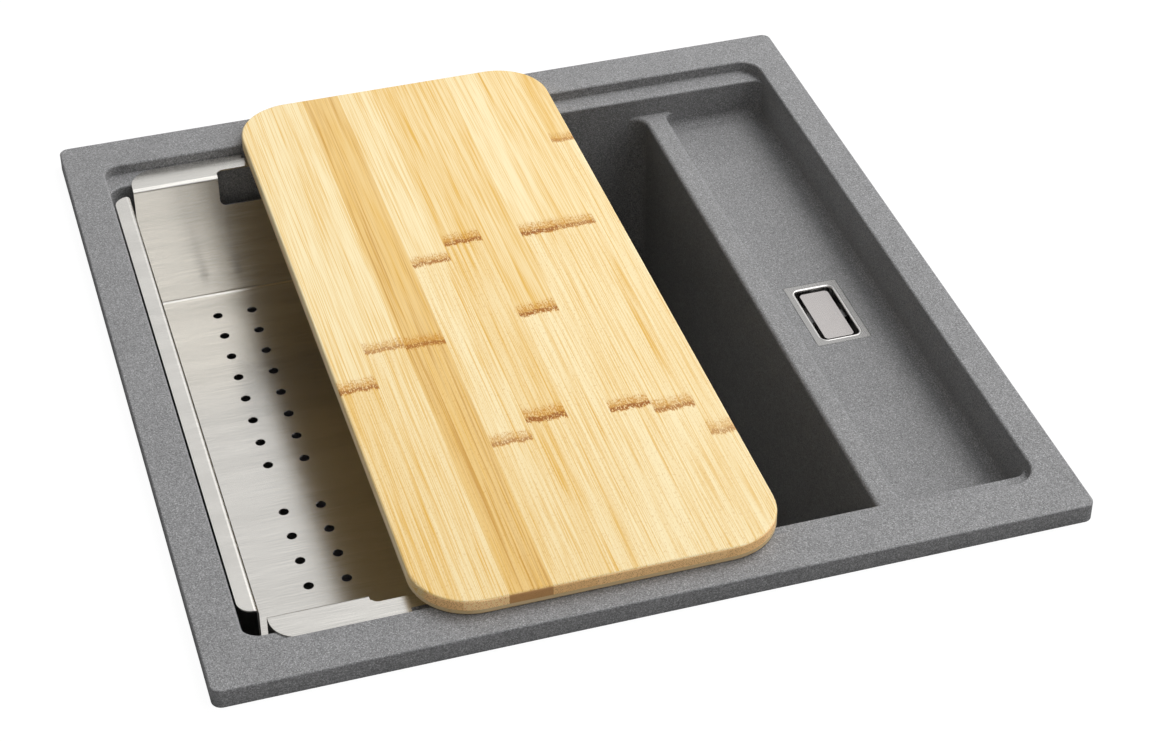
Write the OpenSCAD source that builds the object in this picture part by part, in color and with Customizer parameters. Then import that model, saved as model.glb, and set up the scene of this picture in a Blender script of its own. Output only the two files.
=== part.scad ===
// Workstation kitchen sink: a composite inset sink with a deep bowl, a shallow tray behind a
// divider, two side ledges, a folded steel colander and a bamboo cutting board.
// Origin: centre of the sink on the worktop's top face. +X towards the tray, +Z up.
// Lengths are in millimetres.

/* [Rim] */
// Outer width of the rim, across the divider (X)
rim_w = 510; // [480:1:560]
// Outer length of the rim, along the divider (Y)
rim_l = 540; // [500:1:600]
// Thickness of the rim above the worktop
rim_t = 12; // [10:0.5:16]
// Plan radius of the rim's outer corners
rim_corner = 6; // [5:0.5:12]
// Rounding of the rim's upper outer edge
rim_round = 1; // [1:0.5:4]
// Width of the rim beside the bowl
rim_bowl_side = 25; // [22:0.5:35]
// Width of the rim beside the tray
rim_tray_side = 21.5; // [20:0.5:35]
// Width of the rim at both ends
rim_ends = 30.5; // [30:0.5:45]

/* [Casting] */
// Thickness of the casting's walls
wall = 8; // [6:0.5:9]
// Plan radius of the opening's corners beside the bowl
open_corner = 10; // [8:0.5:14]
// Plan radius of the opening's corners beside the tray
open_back_corner = 15; // [12:0.5:18]
// Rounding of the opening's upper edge
open_round = 1.5; // [1:0.5:4]
// Depth of the ledges below the rim's top
ledge_drop = 8; // [7:0.5:14]
// Width of the ledges
ledge_w = 14; // [10:0.5:20]
// Rounding of the ledges' front edges
ledge_round = 1.5; // [0.5:0.5:2]

/* [Bowl] */
// Depth of the bowl below the rim's top
bowl_depth = 200; // [160:1:230]
// Plan radius of the bowl's corners
bowl_corner = 12; // [11.5:0.5:30]
// Rounding between the bowl's walls and its floor
bowl_fillet = 10; // [6:0.5:11]
// Thickness of the bowl's floor
floor_t = 12; // [11:0.5:16]
// Fall of the floor towards the drain
floor_fall = 2.5; // [1:0.5:3]
// Radius round the drain in which the floor falls
fall_r = 120; // [80:1:150]

/* [Divider and tray] */
// Thickness of the divider
divider_w = 16; // [12:0.5:24]
// Depth of the divider's top below the rim's top
divider_drop = 22; // [18:0.5:26]
// Rounding of the divider's upper edges
divider_round = 3; // [1:0.5:4]
// Width of the tray
tray_w = 71.5; // [66:0.5:100]
// Depth of the tray's floor below the rim's top
tray_drop = 36.5; // [34:0.5:50]
// Plan radius of the tray's corners at the divider
tray_corner = 8; // [7.5:0.5:12]
// Plan radius of the tray's corners at the rim
tray_back_corner = 8; // [7.5:0.5:16]
// Rounding between the tray's walls and its floor
tray_fillet = 6.5; // [3:0.5:7]
// Thickness of the tray's floor
tray_t = 9; // [7:0.5:12]

/* [Seal] */
// Width of the seal under the rim
seal_w = 8; // [5:0.5:9]
// Depth of the seal's groove
seal_t = 2.5; // [1.5:0.5:4]
// Distance from the rim's edge to the seal
seal_inset = 3; // [2:0.5:5]

/* [Clamps] */
// Distance between clamps
clamp_pitch = 170; // [120:1:190]
// Distance from the rim's edge to a clamp's screw
clamp_inset = 23; // [22:0.5:24]
// Radius of a clamp's boss
boss_r = 9; // [8:0.5:10]
// Length of a boss below the worktop's top face
boss_l = 20; // [16:1:24]
// Radius of the hole for the insert
insert_r = 4.5; // [4.2:0.1:5]
// Depth of that hole
insert_l = 16; // [12:0.5:17]
// Radius of the clamp screw's shank
clamp_screw_r = 3; // [2.5:0.1:3.2]
// Thickness of the worktop that the clamps grip
worktop_t = 40; // [28:1:45]
// Length of a claw from its screw to its tip
claw_reach = 21; // [18:0.5:22]
// Width of a claw
claw_w = 16; // [12:0.5:17]
// Thickness of a claw
claw_t = 3; // [2:0.5:4]
// Height of a claw's upturned tip
claw_tip = 3; // [2:0.5:5]

/* [Strainer waste] */
// Radius of the drain hole
drain_r = 45; // [43:0.5:46]
// Width of the recess round the drain
seat_w = 12; // [10:0.5:15]
// Depth of that recess
seat_drop = 3; // [2.5:0.25:4]
// Thickness of the waste's sheet steel
waste_sheet = 1.2; // [0.8:0.1:1.4]
// Depth of the flange's cup below the floor
cup_depth = 23; // [20:0.5:26]
// Thickness of the upper gasket
top_gasket_t = 1.5; // [1:0.25:1.5]
// Thickness of the lower gasket
low_gasket_t = 3; // [2:0.5:4]
// Wall of the plastic waste body
waste_wall = 3; // [2:0.5:3.5]
// Depth of the waste body's cup below the casting
waste_depth = 42; // [40:0.5:60]
// Height of the funnel between cup and outlet
funnel_h = 13; // [8:0.5:20]
// Radius over the outlet's thread
outlet_r = 23.9; // [20:0.1:25]
// Length of the outlet
outlet_l = 35; // [30:1:50]
// Radius of the waste's clamp screw
waste_screw_r = 3; // [2.5:0.1:4]

/* [Strainer basket] */
// Depth of the basket
basket_depth = 17; // [14:0.5:18]
// Clearance between the basket and the flange's cup
basket_gap = 0.8; // [0.5:0.1:1.5]
// Radius of a hole in the basket and in the flange
mesh_hole_r = 2.2; // [1.5:0.1:2.5]
// Radius of the knob
knob_r = 11; // [8:0.5:14]
// Height of the knob's top above the basket's rim
knob_rise = 8; // [5:0.5:12]

/* [Overflow] */
// Distance from the tray's rim-side wall to the middle of the overflow
overflow_inset = 39.5; // [33:0.5:45]
// Distance of the overflow from the sink's middle (Y)
overflow_y = -10; // [-60:1:60]
// Width of the overflow's frame (X)
frame_w = 36; // [34:0.5:40]
// Length of the overflow's frame (Y)
frame_l = 64; // [60:0.5:80]
// Width of the frame's border
frame_border = 4; // [3.8:0.1:5]
// Thickness of the frame's sheet
frame_sheet = 1; // [0.8:0.1:1.2]
// Depth of the frame's dish
dish_depth = 14; // [12:0.5:18]
// Plan radius of the dish's corners
dish_corner = 5; // [3:0.5:6]
// Width of the cover plate (X)
cover_w = 19.5; // [16:0.5:22]
// Length of the cover plate (Y)
cover_l = 49; // [44:0.5:52]
// Thickness of the cover plate
cover_t = 1.5; // [1:0.1:2]
// Depth of the cover plate's top below the frame
cover_drop = 1.8; // [1:0.1:3]
// Plan radius of the cover plate's corners
cover_corner = 2.5; // [1:0.5:4]
// Width of the spring clip under the cover
clip_w = 8; // [5:0.5:10]
// Thickness of the gasket under the frame
frame_gasket_t = 0.8; // [0.5:0.1:1]
// Thickness of the gasket over the housing
housing_gasket_t = 2; // [1:0.5:3]
// Wall of the overflow housing
housing_wall = 2.5; // [2:0.1:3]
// Depth of the overflow housing
housing_depth = 40; // [32:1:60]
// Distance between the overflow's screws
overflow_screw_pitch = 40; // [30:1:42]
// Radius of the overflow's screws
overflow_screw_r = 2; // [1.5:0.1:2.2]

/* [Overflow pipe] */
// Outer radius of the overflow pipe
pipe_r = 12.5; // [10:0.5:13]
// Wall of the pipe
pipe_wall = 1.8; // [1.2:0.1:2.5]
// Radius of the pipe's bend, on its centre line
pipe_bend = 30; // [26:1:40]
// Length of the pipe held in each socket
pipe_grip = 16; // [12:1:18]
// Length of each socket
socket_l = 26; // [22:1:30]
// Height of a pipe nut
nut_h = 16; // [12:1:18]

/* [Colander] */
// Length of the colander between its inner walls (X)
colander_w = 234; // [180:1:280]
// Distance from the inner end walls to the bowl's opening
colander_end_gap = 25; // [18:0.5:27]
// Place of the colander's middle (Y)
colander_shift = 2; // [-2:0.5:2]
// Depth of the colander's floor below the rim's top
colander_drop = 103; // [70:1:120]
// Thickness of the colander's sheet
sheet_t = 1; // [0.8:0.1:1.5]
// Inner radius of the colander's folds
fold_r = 2; // [1:0.25:3]
// Width of the flanges on the short walls' side (X)
flange_side = 12; // [9:0.5:14]
// Gap between the colander's first flange and the bowl's wall
colander_gap = 2; // [0.5:0.1:3]
// Gap between the end flanges and the opening, with the colander in the middle
flange_gap = 3; // [3:0.1:5]
// Width of the open slit at each corner (X)
corner_slit_w = 3; // [3:0.5:6]
// Length of the open slit at each corner (Y)
corner_slit_l = 5.5; // [3:0.5:8]
// Plan radius of the end flanges' outer corners
end_flange_corner = 17; // [10:0.5:18]
// Plan radius of the side flanges' outer corners
side_flange_corner = 9; // [4:0.5:10]
// Radius of the colander's holes
hole_r = 3.25; // [2:0.25:5]
// Distance between the colander's holes
hole_pitch = 23.7; // [15:0.1:30]
// Columns of holes at each side of the colander's floor
hole_columns = 2; // [1:1:3]
// Distance from the first hole to the wall beside it (X)
hole_margin_x = 47; // [25:1:50]
// Distance from the first hole to the wall beside it (Y)
hole_margin_y = 20; // [12:1:40]
// Distance from the hand slots to the colander's side walls
grip_margin = 60; // [40:1:70]
// Depth of a hand slot below the rim's top
grip_drop = 31; // [26:1:45]
// Width that a hand slot takes out of the flange
grip_in_flange = 6.5; // [5:0.5:10]
// Plan radius of a hand slot's corners
grip_corner = 5; // [2:0.5:6]
// Step in the end flanges' outer edge
flange_step = 4.5; // [2:0.5:6]

/* [Board] */
// Width of the board (X)
board_w = 214; // [180:1:300]
// Length of the board (Y)
board_l = 520; // [480:1:540]
// Thickness of the board's face layer
board_face_t = 6.5; // [4:0.5:10]
// Thickness of the board's base layer
board_base_t = 3.5; // [2:0.5:6]
// Plan radius of the board's corners
board_corner = 36; // [20:1:60]
// Rounding of the board's edges
board_round = 1.5; // [0.5:0.5:1.9]
// Place of the board's middle (X)
board_x = -29; // [-60:1:60]
// Place of the board's middle (Y)
board_y = 6; // [-8:1:8]

/* [Hidden] */
$fn = 96;
// How far a cut runs past a face
over = 1;

// Levels
top_z = rim_t;
ledge_z = top_z - ledge_drop;
divider_z = top_z - divider_drop;
tray_z = top_z - tray_drop;
bowl_z = top_z - bowl_depth;
bowl_under_z = bowl_z - floor_t;
tray_under_z = tray_z - tray_t;

// The opening and what lies in it
open_x0 = -rim_w / 2 + rim_bowl_side;
open_x1 = rim_w / 2 - rim_tray_side;
open_y = rim_l / 2 - rim_ends;
inner_y = open_y - ledge_w;
tray_x0 = open_x1 - tray_w;
bowl_x1 = tray_x0 - divider_w;
// Rounding between the opening's walls and the ledges
ledge_fillet = 1;

// Strainer waste
drain_x = (open_x0 + bowl_x1) / 2;
drain_z = bowl_z - floor_fall;
seat_z = drain_z - seat_drop;
seat_gap = 0.5;
seat_r = drain_r + seat_w;
flange_z = seat_z + top_gasket_t;
flange_t = drain_z - flange_z;
cup_r = drain_r - 1;
cup_in_r = cup_r - waste_sheet;
cup_z = drain_z - cup_depth;
waste_top_z = bowl_under_z - low_gasket_t;
drain_gap = 2;
waste_in_r = drain_r + drain_gap;
waste_out_r = waste_in_r + waste_wall;
waste_low_z = bowl_under_z - waste_depth;
funnel_z = waste_low_z - funnel_h;
outlet_z = funnel_z - outlet_l;
outlet_in_r = outlet_r - waste_wall;
hub_wall = 4;
hub_gap = 3;
hub_h = 18;
hub_r = waste_screw_r + hub_wall;
hub_top_z = cup_z - hub_gap;
hub_low_z = hub_top_z - hub_h;
screw_hole_gap = 0.3;
screw_end = 2;
waste_screw_head_r = 2 * waste_screw_r;
waste_screw_head_h = 3;
rib_t = 3;
rib_drop = 4;

// Strainer basket
basket_r = cup_in_r - basket_gap;
basket_sheet = 0.8;
basket_lip = 2.5;
plug_inset = 2;
plug_hole_gap = 1;
basket_z = drain_z - basket_depth;
plug_r = basket_r - basket_lip - plug_inset;
plug_hole_r = waste_screw_head_r + plug_hole_gap;
mesh_rings = [[8, 14], [14, 23], [20, 32]];
stem_r = 4;
stem_foot_w = 3;
stem_foot_r = stem_r + stem_foot_w;
stem_foot_t = 2;
knob_t = 3;
knob_edge = knob_t / 2;

// Overflow
overflow_x = open_x1 - overflow_inset;
recess_gap = 0.3;
recess_corner = 1;
frame_t = 1.4;
frame_corner = recess_corner - recess_gap;
recess_t = frame_gasket_t + frame_t;
dish_w = frame_w - 2 * frame_border;
dish_l = frame_l - 2 * frame_border;
throat_gap = 0.6;
throat_w = dish_w + 2 * frame_sheet + 2 * throat_gap;
throat_l = dish_l + 2 * frame_sheet + 2 * throat_gap;
throat_corner = dish_corner + frame_sheet + throat_gap;
dish_z = tray_z - dish_depth;
dish_hole_r = 2;
dish_hole_pitch = 6;
cover_z = tray_z - cover_drop;
clip_t = 0.8;
clip_gap = 0.3;
housing_flange = 8;
housing_flange_t = 3;
housing_w = throat_w + 2 * housing_flange;
housing_l = throat_l + 2 * housing_flange;
housing_corner = throat_corner + housing_flange / 2;
housing_top_z = tray_under_z - housing_gasket_t;
housing_z = housing_top_z - housing_depth;
post_r = overflow_screw_r + 2;
overflow_screw_l = 16;
overflow_head_r = 1.75 * overflow_screw_r;
overflow_head_h = 1.6;
screw_slot_w = 0.8;

// Overflow pipe, in the upright plane through the overflow and the drain
fit_gap = 0.05;
socket_wall = 3;
socket_in_r = pipe_r + fit_gap;
socket_r = socket_in_r + socket_wall;
port_z = bowl_under_z - waste_depth + socket_r + waste_wall;
pipe_span = norm([overflow_x - drain_x, overflow_y]);
pipe_turn = atan2(overflow_y, overflow_x - drain_x);
port_end = waste_out_r + socket_l;
upper_socket_z = housing_z - socket_l;
pipe_top_z = upper_socket_z + pipe_grip;
pipe_end = port_end - pipe_grip;
nut_wall = 4;
nut_r = socket_r + nut_wall;
washer_t = 3;
nut_lip = 3;
nut_hole_gap = 0.5;
nut_ribs = 16;
nut_rib_r = 1;

// Clamps, as many along each end as there are claws for
clamp_count = 3;
clamp_y = rim_l / 2 - clamp_inset;
clamp_points = [for (side = [-1, 1], i = [0 : clamp_count - 1])
    [(i - (clamp_count - 1) / 2) * clamp_pitch, side * clamp_y, side]];
claw_gap = 0.3;
claw_top_z = -worktop_t - claw_tip - claw_gap;
claw_hole_r = clamp_screw_r + 0.06;
clamp_head_r = 2 * clamp_screw_r;
clamp_head_h = 4;
insert_flange_w = 2.5;
insert_flange_r = insert_r + insert_flange_w;
insert_flange_t = 1;
insert_end = 2;
insert_room = 2;
insert_hole_z = -boss_l + insert_l - insert_end;
clamp_screw_z = insert_hole_z - insert_room;

// Colander
colander_x0 = open_x0 + colander_gap + flange_side - sheet_t;
colander_x1 = colander_x0 + colander_w;
colander_x = (colander_x0 + colander_x1) / 2;
colander_y = open_y - colander_end_gap;
colander_z = top_z - colander_drop;
flange_top_z = ledge_z + sheet_t;
flange_end = open_y - flange_gap;
flange_side_x = colander_w / 2 + flange_side - sheet_t;
step_inset = 20;
hole_rows = floor((colander_y - hole_margin_y) / hole_pitch);

// Board
board_z = top_z;
board_joint_z = board_z + board_base_t;
board_top_z = board_joint_z + board_face_t;

// ---- shapes that repeat ----

// Section of a pan's edge: the wall is at x = 0 and the pan lies at negative x.
// low rounds the lower edge, high rounds the upper edge, flare opens the upper edge outwards.
module edge_section(reach, z0, z1, low, high, flare) {
    translate([-reach, z0 + low]) square([reach, z1 - z0 - low - high]);
    if (low > 0) {
        translate([-reach, z0]) square([reach - low, low]);
        translate([-low, z0 + low]) mirror([0, 1]) quarter_disc(low);
    }
    if (high > 0) {
        translate([-reach, z1 - high]) square([reach - high, high]);
        translate([-high, z1 - high]) quarter_disc(high);
    }
    if (flare > 0) {
        difference() {
            translate([0, z1 - flare]) square(flare);
            translate([flare, z1 - flare]) circle(flare);
        }
    }
}

// A quarter of a disc, from +X to +Y.
module quarter_disc(r) {
    intersection() {
        circle(r);
        square(2 * r);
    }
}

// A rectangular pan with plan radii ra at x0 and rb at x1.
module pan(x0, x1, y, ra, rb, z0, z1, low = 0, high = 0, flare = 0) {
    translate([x0 + ra, 0, 0]) rotate([90, 0, 90]) linear_extrude(x1 - x0 - ra - rb) {
        translate([y, 0]) edge_section(y, z0, z1, low, high, flare);
        mirror([1, 0]) translate([y, 0]) edge_section(y, z0, z1, low, high, flare);
    }
    for (side = [[x0, ra, 1], [x1, rb, 0]]) {
        r = side[1];
        translate([side[0], 0, 0]) mirror([side[2], 0, 0]) {
            translate([0, y - r, 0]) rotate([90, 0, 0]) linear_extrude(2 * (y - r))
                edge_section(r, z0, z1, low, high, flare);
            for (end = [0, 1]) {
                mirror([0, end, 0]) translate([-r, y - r, 0]) rotate_extrude(angle = 90)
                    translate([r, 0]) edge_section(r, z0, z1, low, high, flare);
            }
        }
    }
}

// An upright block with rounded corners, centred in plan.
module slab(w, l, r, z0, z1) {
    translate([0, 0, z0]) linear_extrude(z1 - z0) rounded_plan(w, l, r);
}

// A rectangle with rounded corners, centred.
module rounded_plan(w, l, r) {
    square([w - 2 * r, l], center = true);
    square([w, l - 2 * r], center = true);
    for (x = [-1, 1], y = [-1, 1]) {
        translate([x * (w / 2 - r), y * (l / 2 - r)]) circle(r);
    }
}

// An upright ring.
module ring(r_out, r_in, z0, z1) {
    translate([0, 0, z0]) difference() {
        cylinder(r = r_out, h = z1 - z0);
        translate([0, 0, -over]) cylinder(r = r_in, h = z1 - z0 + 2 * over);
    }
}

// Upright drills on a circle.
module drills(count, pitch_r, r, z0, z1) {
    for (i = [0 : count - 1]) {
        rotate([0, 0, 360 * i / count]) translate([pitch_r, 0, z0]) cylinder(r = r, h = z1 - z0);
    }
}

module at_drain() {
    translate([drain_x, 0, 0]) children();
}

module at_overflow() {
    translate([overflow_x, overflow_y, 0]) children();
}

module at_clamps() {
    for (p = clamp_points) {
        translate([p[0], p[1], 0]) mirror([0, p[2] < 0 ? 1 : 0, 0]) children();
    }
}

// ---- the casting ----

module casting_outside() {
    pan(-rim_w / 2, rim_w / 2, rim_l / 2, rim_corner, rim_corner, 0, top_z, high = rim_round);
    pan(open_x0 - wall, open_x1 + wall, open_y + wall, open_corner + wall, open_back_corner + wall,
        ledge_z - wall, over);
    pan(open_x0 - wall, open_x1 + wall, inner_y + wall, bowl_corner + wall, tray_back_corner + wall,
        tray_under_z, over, low = tray_fillet);
    pan(open_x0 - wall, bowl_x1 + wall, inner_y + wall, bowl_corner + wall, bowl_corner + wall,
        bowl_under_z, 0, low = bowl_fillet + wall / 2);
    at_clamps() {
        translate([0, 0, -boss_l]) cylinder(r = boss_r, h = boss_l + over);
        translate([-boss_r / 2, inner_y + wall / 2 - clamp_y, -boss_l])
            cube([boss_r, clamp_y - inner_y - wall / 2, boss_l + over]);
    }
}

module opening_space() {
    pan(open_x0, open_x1, open_y, open_corner, open_back_corner, ledge_z, top_z,
        low = ledge_fillet, flare = open_round);
}

module opening_column(z0) {
    pan(open_x0, open_x1, open_y, open_corner, open_back_corner, z0,
        ledge_z + ledge_fillet + over);
}

module inner_space() {
    intersection() {
        pan(open_x0, open_x1, inner_y, bowl_corner, tray_back_corner, divider_z, ledge_z,
            flare = ledge_round);
        opening_column(divider_z);
    }
    pan(open_x0, open_x1, inner_y, bowl_corner, tray_back_corner, divider_z,
        ledge_z + ledge_fillet + over / 2);
}

module inner_column(z0) {
    pan(open_x0, open_x1, inner_y, bowl_corner, tray_back_corner, z0, divider_z + over);
}

module bowl_space() {
    intersection() {
        pan(open_x0, bowl_x1, inner_y, bowl_corner, bowl_corner, bowl_z, divider_z,
            low = bowl_fillet, flare = divider_round);
        inner_column(bowl_z);
    }
}

module tray_space() {
    intersection() {
        pan(tray_x0, open_x1, inner_y, tray_corner, tray_back_corner, tray_z, divider_z,
            low = tray_fillet, flare = divider_round);
        inner_column(tray_z);
    }
}

module sink_body() {
    color([0.36, 0.37, 0.38]) difference() {
        casting_outside();
        opening_space();
        inner_space();
        bowl_space();
        tray_space();
        seal_ring(seal_t + over, -over);
        at_drain() {
            translate([0, 0, drain_z]) cylinder(r1 = seat_r, r2 = fall_r, h = floor_fall);
            translate([0, 0, seat_z]) cylinder(r = seat_r, h = seat_drop + 0.01);
            translate([0, 0, bowl_under_z - over]) cylinder(r = drain_r, h = floor_t);
        }
        at_overflow() {
            slab(frame_w + 2 * recess_gap, frame_l + 2 * recess_gap, recess_corner,
                tray_z - recess_t, tray_z + over);
            slab(throat_w, throat_l, throat_corner, tray_under_z - over, tray_z);
        }
        at_clamps() translate([0, 0, -boss_l - over]) cylinder(r = insert_r, h = insert_l + over);
    }
}

// ---- under the rim ----

module seal_ring(h, z0) {
    outer_w = rim_w - 2 * seal_inset;
    outer_l = rim_l - 2 * seal_inset;
    difference() {
        slab(outer_w, outer_l, rim_corner - seal_inset / 2, z0, z0 + h);
        translate([0, 0, z0 - over]) linear_extrude(h + 2 * over)
            square([outer_w - 2 * seal_w, outer_l - 2 * seal_w], center = true);
    }
}

module rim_seal() {
    color([0.08, 0.08, 0.08]) seal_ring(seal_t, 0);
}

module clamp_inserts() {
    color([0.85, 0.85, 0.82]) at_clamps() difference() {
        union() {
            translate([0, 0, -boss_l]) cylinder(r = insert_r - fit_gap, h = insert_l);
            translate([0, 0, -boss_l - insert_flange_t])
                cylinder(r = insert_flange_r, h = insert_flange_t);
        }
        translate([0, 0, -boss_l - insert_flange_t - over])
            cylinder(r = clamp_screw_r + fit_gap, h = insert_hole_z + boss_l + insert_flange_t + over);
    }
}

module clamp_screws() {
    head_z = claw_top_z - claw_t;
    color([0.72, 0.72, 0.74]) at_clamps() difference() {
        union() {
            translate([0, 0, head_z]) cylinder(r = clamp_screw_r, h = clamp_screw_z - head_z);
            translate([0, 0, head_z - clamp_head_h]) cylinder(r = clamp_head_r, h = clamp_head_h);
        }
        translate([0, 0, head_z - clamp_head_h - over])
            cylinder(r = clamp_screw_r, h = clamp_head_h / 2 + over, $fn = 6);
    }
}

module clamp_claw(index) {
    p = clamp_points[index];
    color([0.6, 0.61, 0.63]) translate([p[0], p[1], claw_top_z - claw_t])
        mirror([0, p[2] < 0 ? 1 : 0, 0]) difference() {
            union() {
                cylinder(r = claw_w / 2, h = claw_t);
                translate([-claw_w / 2, 0, 0]) cube([claw_w, claw_reach, claw_t]);
                translate([-claw_w / 2, claw_reach - claw_t, 0])
                    cube([claw_w, claw_t, claw_t + claw_tip]);
            }
            translate([0, 0, -over]) cylinder(r = claw_hole_r, h = claw_t + 2 * over);
        }
}

// ---- strainer waste ----

module waste_flange() {
    color([0.75, 0.75, 0.76]) at_drain() difference() {
        union() {
            ring(seat_r - seat_gap, cup_in_r, flange_z, drain_z);
            ring(cup_r, cup_in_r, cup_z, drain_z);
            translate([0, 0, cup_z]) cylinder(r = cup_r, h = waste_sheet);
        }
        translate([0, 0, cup_z - over])
            cylinder(r = waste_screw_r + screw_hole_gap, h = waste_sheet + 2 * over);
        for (m = mesh_rings) {
            drills(m[0], m[1], mesh_hole_r, cup_z - over, cup_z + waste_sheet + over);
        }
    }
}

module waste_top_gasket() {
    color([0.12, 0.12, 0.12]) at_drain() ring(seat_r - seat_gap, drain_r + seat_gap, seat_z, flange_z);
}

module waste_low_gasket() {
    color([0.12, 0.12, 0.12]) at_drain()
        ring(seat_r - seat_gap, waste_in_r + seat_gap, waste_top_z, bowl_under_z);
}

// A cylinder along the port of the waste body, from the drain's axis towards the overflow pipe.
module port_cylinder(r, end) {
    rotate([0, 0, pipe_turn]) translate([0, 0, port_z]) rotate([0, 90, 0]) cylinder(r = r, h = end);
}

module waste_body() {
    color([0.9, 0.9, 0.88]) at_drain() {
        difference() {
            union() {
                rotate_extrude() polygon([
                    [0, waste_top_z], [seat_r, waste_top_z], [seat_r, waste_top_z - waste_wall],
                    [waste_out_r, waste_top_z - waste_wall], [waste_out_r, waste_low_z],
                    [outlet_r, funnel_z], [outlet_r, outlet_z], [0, outlet_z]]);
                port_cylinder(socket_r, port_end);
            }
            rotate_extrude() polygon([
                [0, waste_top_z + over], [waste_in_r, waste_top_z + over], [waste_in_r, waste_low_z],
                [outlet_in_r, funnel_z], [outlet_in_r, outlet_z - over], [0, outlet_z - over]]);
            port_cylinder(socket_in_r, port_end + over);
        }
        ring(hub_r, waste_screw_r, hub_low_z, hub_top_z);
        for (a = [45 : 90 : 315]) {
            rotate([0, 0, pipe_turn + a]) translate([hub_r - hub_wall / 2, -rib_t / 2, hub_low_z])
                cube([waste_in_r + waste_wall / 2 - hub_r + hub_wall / 2, rib_t, hub_h - rib_drop]);
        }
    }
}

module waste_screw() {
    head_z = cup_z + waste_sheet;
    color([0.75, 0.75, 0.76]) at_drain() difference() {
        union() {
            translate([0, 0, hub_low_z + screw_end])
                cylinder(r = waste_screw_r - fit_gap, h = head_z - hub_low_z - screw_end);
            translate([0, 0, head_z]) cylinder(r = waste_screw_head_r, h = waste_screw_head_h);
        }
        translate([0, 0, head_z + waste_screw_head_h / 2])
            cylinder(r = waste_screw_r, h = waste_screw_head_h, $fn = 6);
    }
}

// ---- strainer basket ----

module basket_cup() {
    color([0.75, 0.75, 0.76]) at_drain() difference() {
        union() {
            ring(basket_r, basket_r - basket_lip - basket_sheet, drain_z - basket_sheet, drain_z);
            ring(basket_r - basket_lip, basket_r - basket_lip - basket_sheet, basket_z, drain_z);
            translate([0, 0, basket_z]) cylinder(r = basket_r - basket_lip, h = basket_sheet);
        }
        translate([0, 0, basket_z - over]) cylinder(r = stem_r, h = basket_sheet + 2 * over);
        for (m = mesh_rings) {
            drills(m[0], m[1], mesh_hole_r, basket_z - over, basket_z + basket_sheet + over);
        }
    }
}

module basket_plug() {
    plug_low_z = cup_z + waste_sheet;
    color([0.1, 0.1, 0.1]) at_drain() difference() {
        translate([0, 0, plug_low_z]) cylinder(r = plug_r, h = basket_z - plug_low_z);
        translate([0, 0, plug_low_z - over])
            cylinder(r = plug_hole_r, h = basket_z - plug_low_z + 2 * over);
    }
}

module basket_knob() {
    knob_z = drain_z + knob_rise;
    color([0.8, 0.8, 0.81]) at_drain() {
        translate([0, 0, basket_z]) cylinder(r = stem_r - fit_gap, h = knob_z - knob_t - basket_z);
        translate([0, 0, basket_z + basket_sheet]) cylinder(r = stem_foot_r, h = stem_foot_t);
        translate([0, 0, knob_z - 2 * knob_t]) cylinder(r1 = stem_r, r2 = knob_r, h = knob_t);
        translate([0, 0, knob_z - knob_t]) cylinder(r = knob_r, h = knob_t - knob_edge);
        translate([0, 0, knob_z - knob_edge])
            cylinder(r1 = knob_r, r2 = knob_r - knob_edge, h = knob_edge);
    }
}

// ---- overflow ----

module overflow_frame() {
    color([0.75, 0.75, 0.76]) at_overflow() difference() {
        union() {
            slab(frame_w, frame_l, frame_corner, tray_z - frame_t, tray_z);
            slab(dish_w + 2 * frame_sheet, dish_l + 2 * frame_sheet, dish_corner + frame_sheet,
                dish_z - frame_sheet, tray_z - frame_t / 2);
        }
        slab(dish_w, dish_l, dish_corner, dish_z, tray_z + over);
        translate([0, 0, dish_z - frame_sheet - over]) {
            for (y = [-1, 1]) {
                translate([0, y * overflow_screw_pitch / 2, 0])
                    cylinder(r = overflow_screw_r + screw_hole_gap, h = frame_sheet + 2 * over);
            }
            for (x = [-1, 1], y = [-1.5 : 1 : 1.5]) {
                translate([x * dish_w / 4, y * dish_hole_pitch, 0])
                    cylinder(r = dish_hole_r, h = frame_sheet + 2 * over);
            }
        }
    }
}

module overflow_frame_gasket() {
    color([0.08, 0.08, 0.08]) at_overflow() difference() {
        slab(frame_w, frame_l, frame_corner, tray_z - recess_t, tray_z - frame_t);
        slab(throat_w, throat_l, throat_corner, tray_z - recess_t - over, tray_z);
    }
}

module overflow_housing_gasket() {
    color([0.1, 0.1, 0.1]) at_overflow() difference() {
        slab(housing_w, housing_l, housing_corner, housing_top_z, tray_under_z);
        slab(throat_w, throat_l, throat_corner, housing_top_z - over, tray_under_z + over);
    }
}

module overflow_housing() {
    color([0.9, 0.9, 0.88]) at_overflow() {
        difference() {
            union() {
                slab(housing_w, housing_l, housing_corner,
                    housing_top_z - housing_flange_t, housing_top_z);
                slab(throat_w + 2 * housing_wall, throat_l + 2 * housing_wall,
                    throat_corner + housing_wall, housing_z, housing_top_z);
                translate([0, 0, upper_socket_z]) cylinder(r = socket_r, h = socket_l + over);
            }
            slab(throat_w, throat_l, throat_corner, housing_z + housing_wall, housing_top_z + over);
            translate([0, 0, upper_socket_z - over])
                cylinder(r = socket_in_r, h = socket_l + housing_wall + 2 * over);
        }
        for (y = [-1, 1]) {
            translate([0, y * overflow_screw_pitch / 2, 0])
                ring(post_r, overflow_screw_r, housing_z + housing_wall / 2, dish_z - frame_sheet);
        }
    }
}

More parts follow.
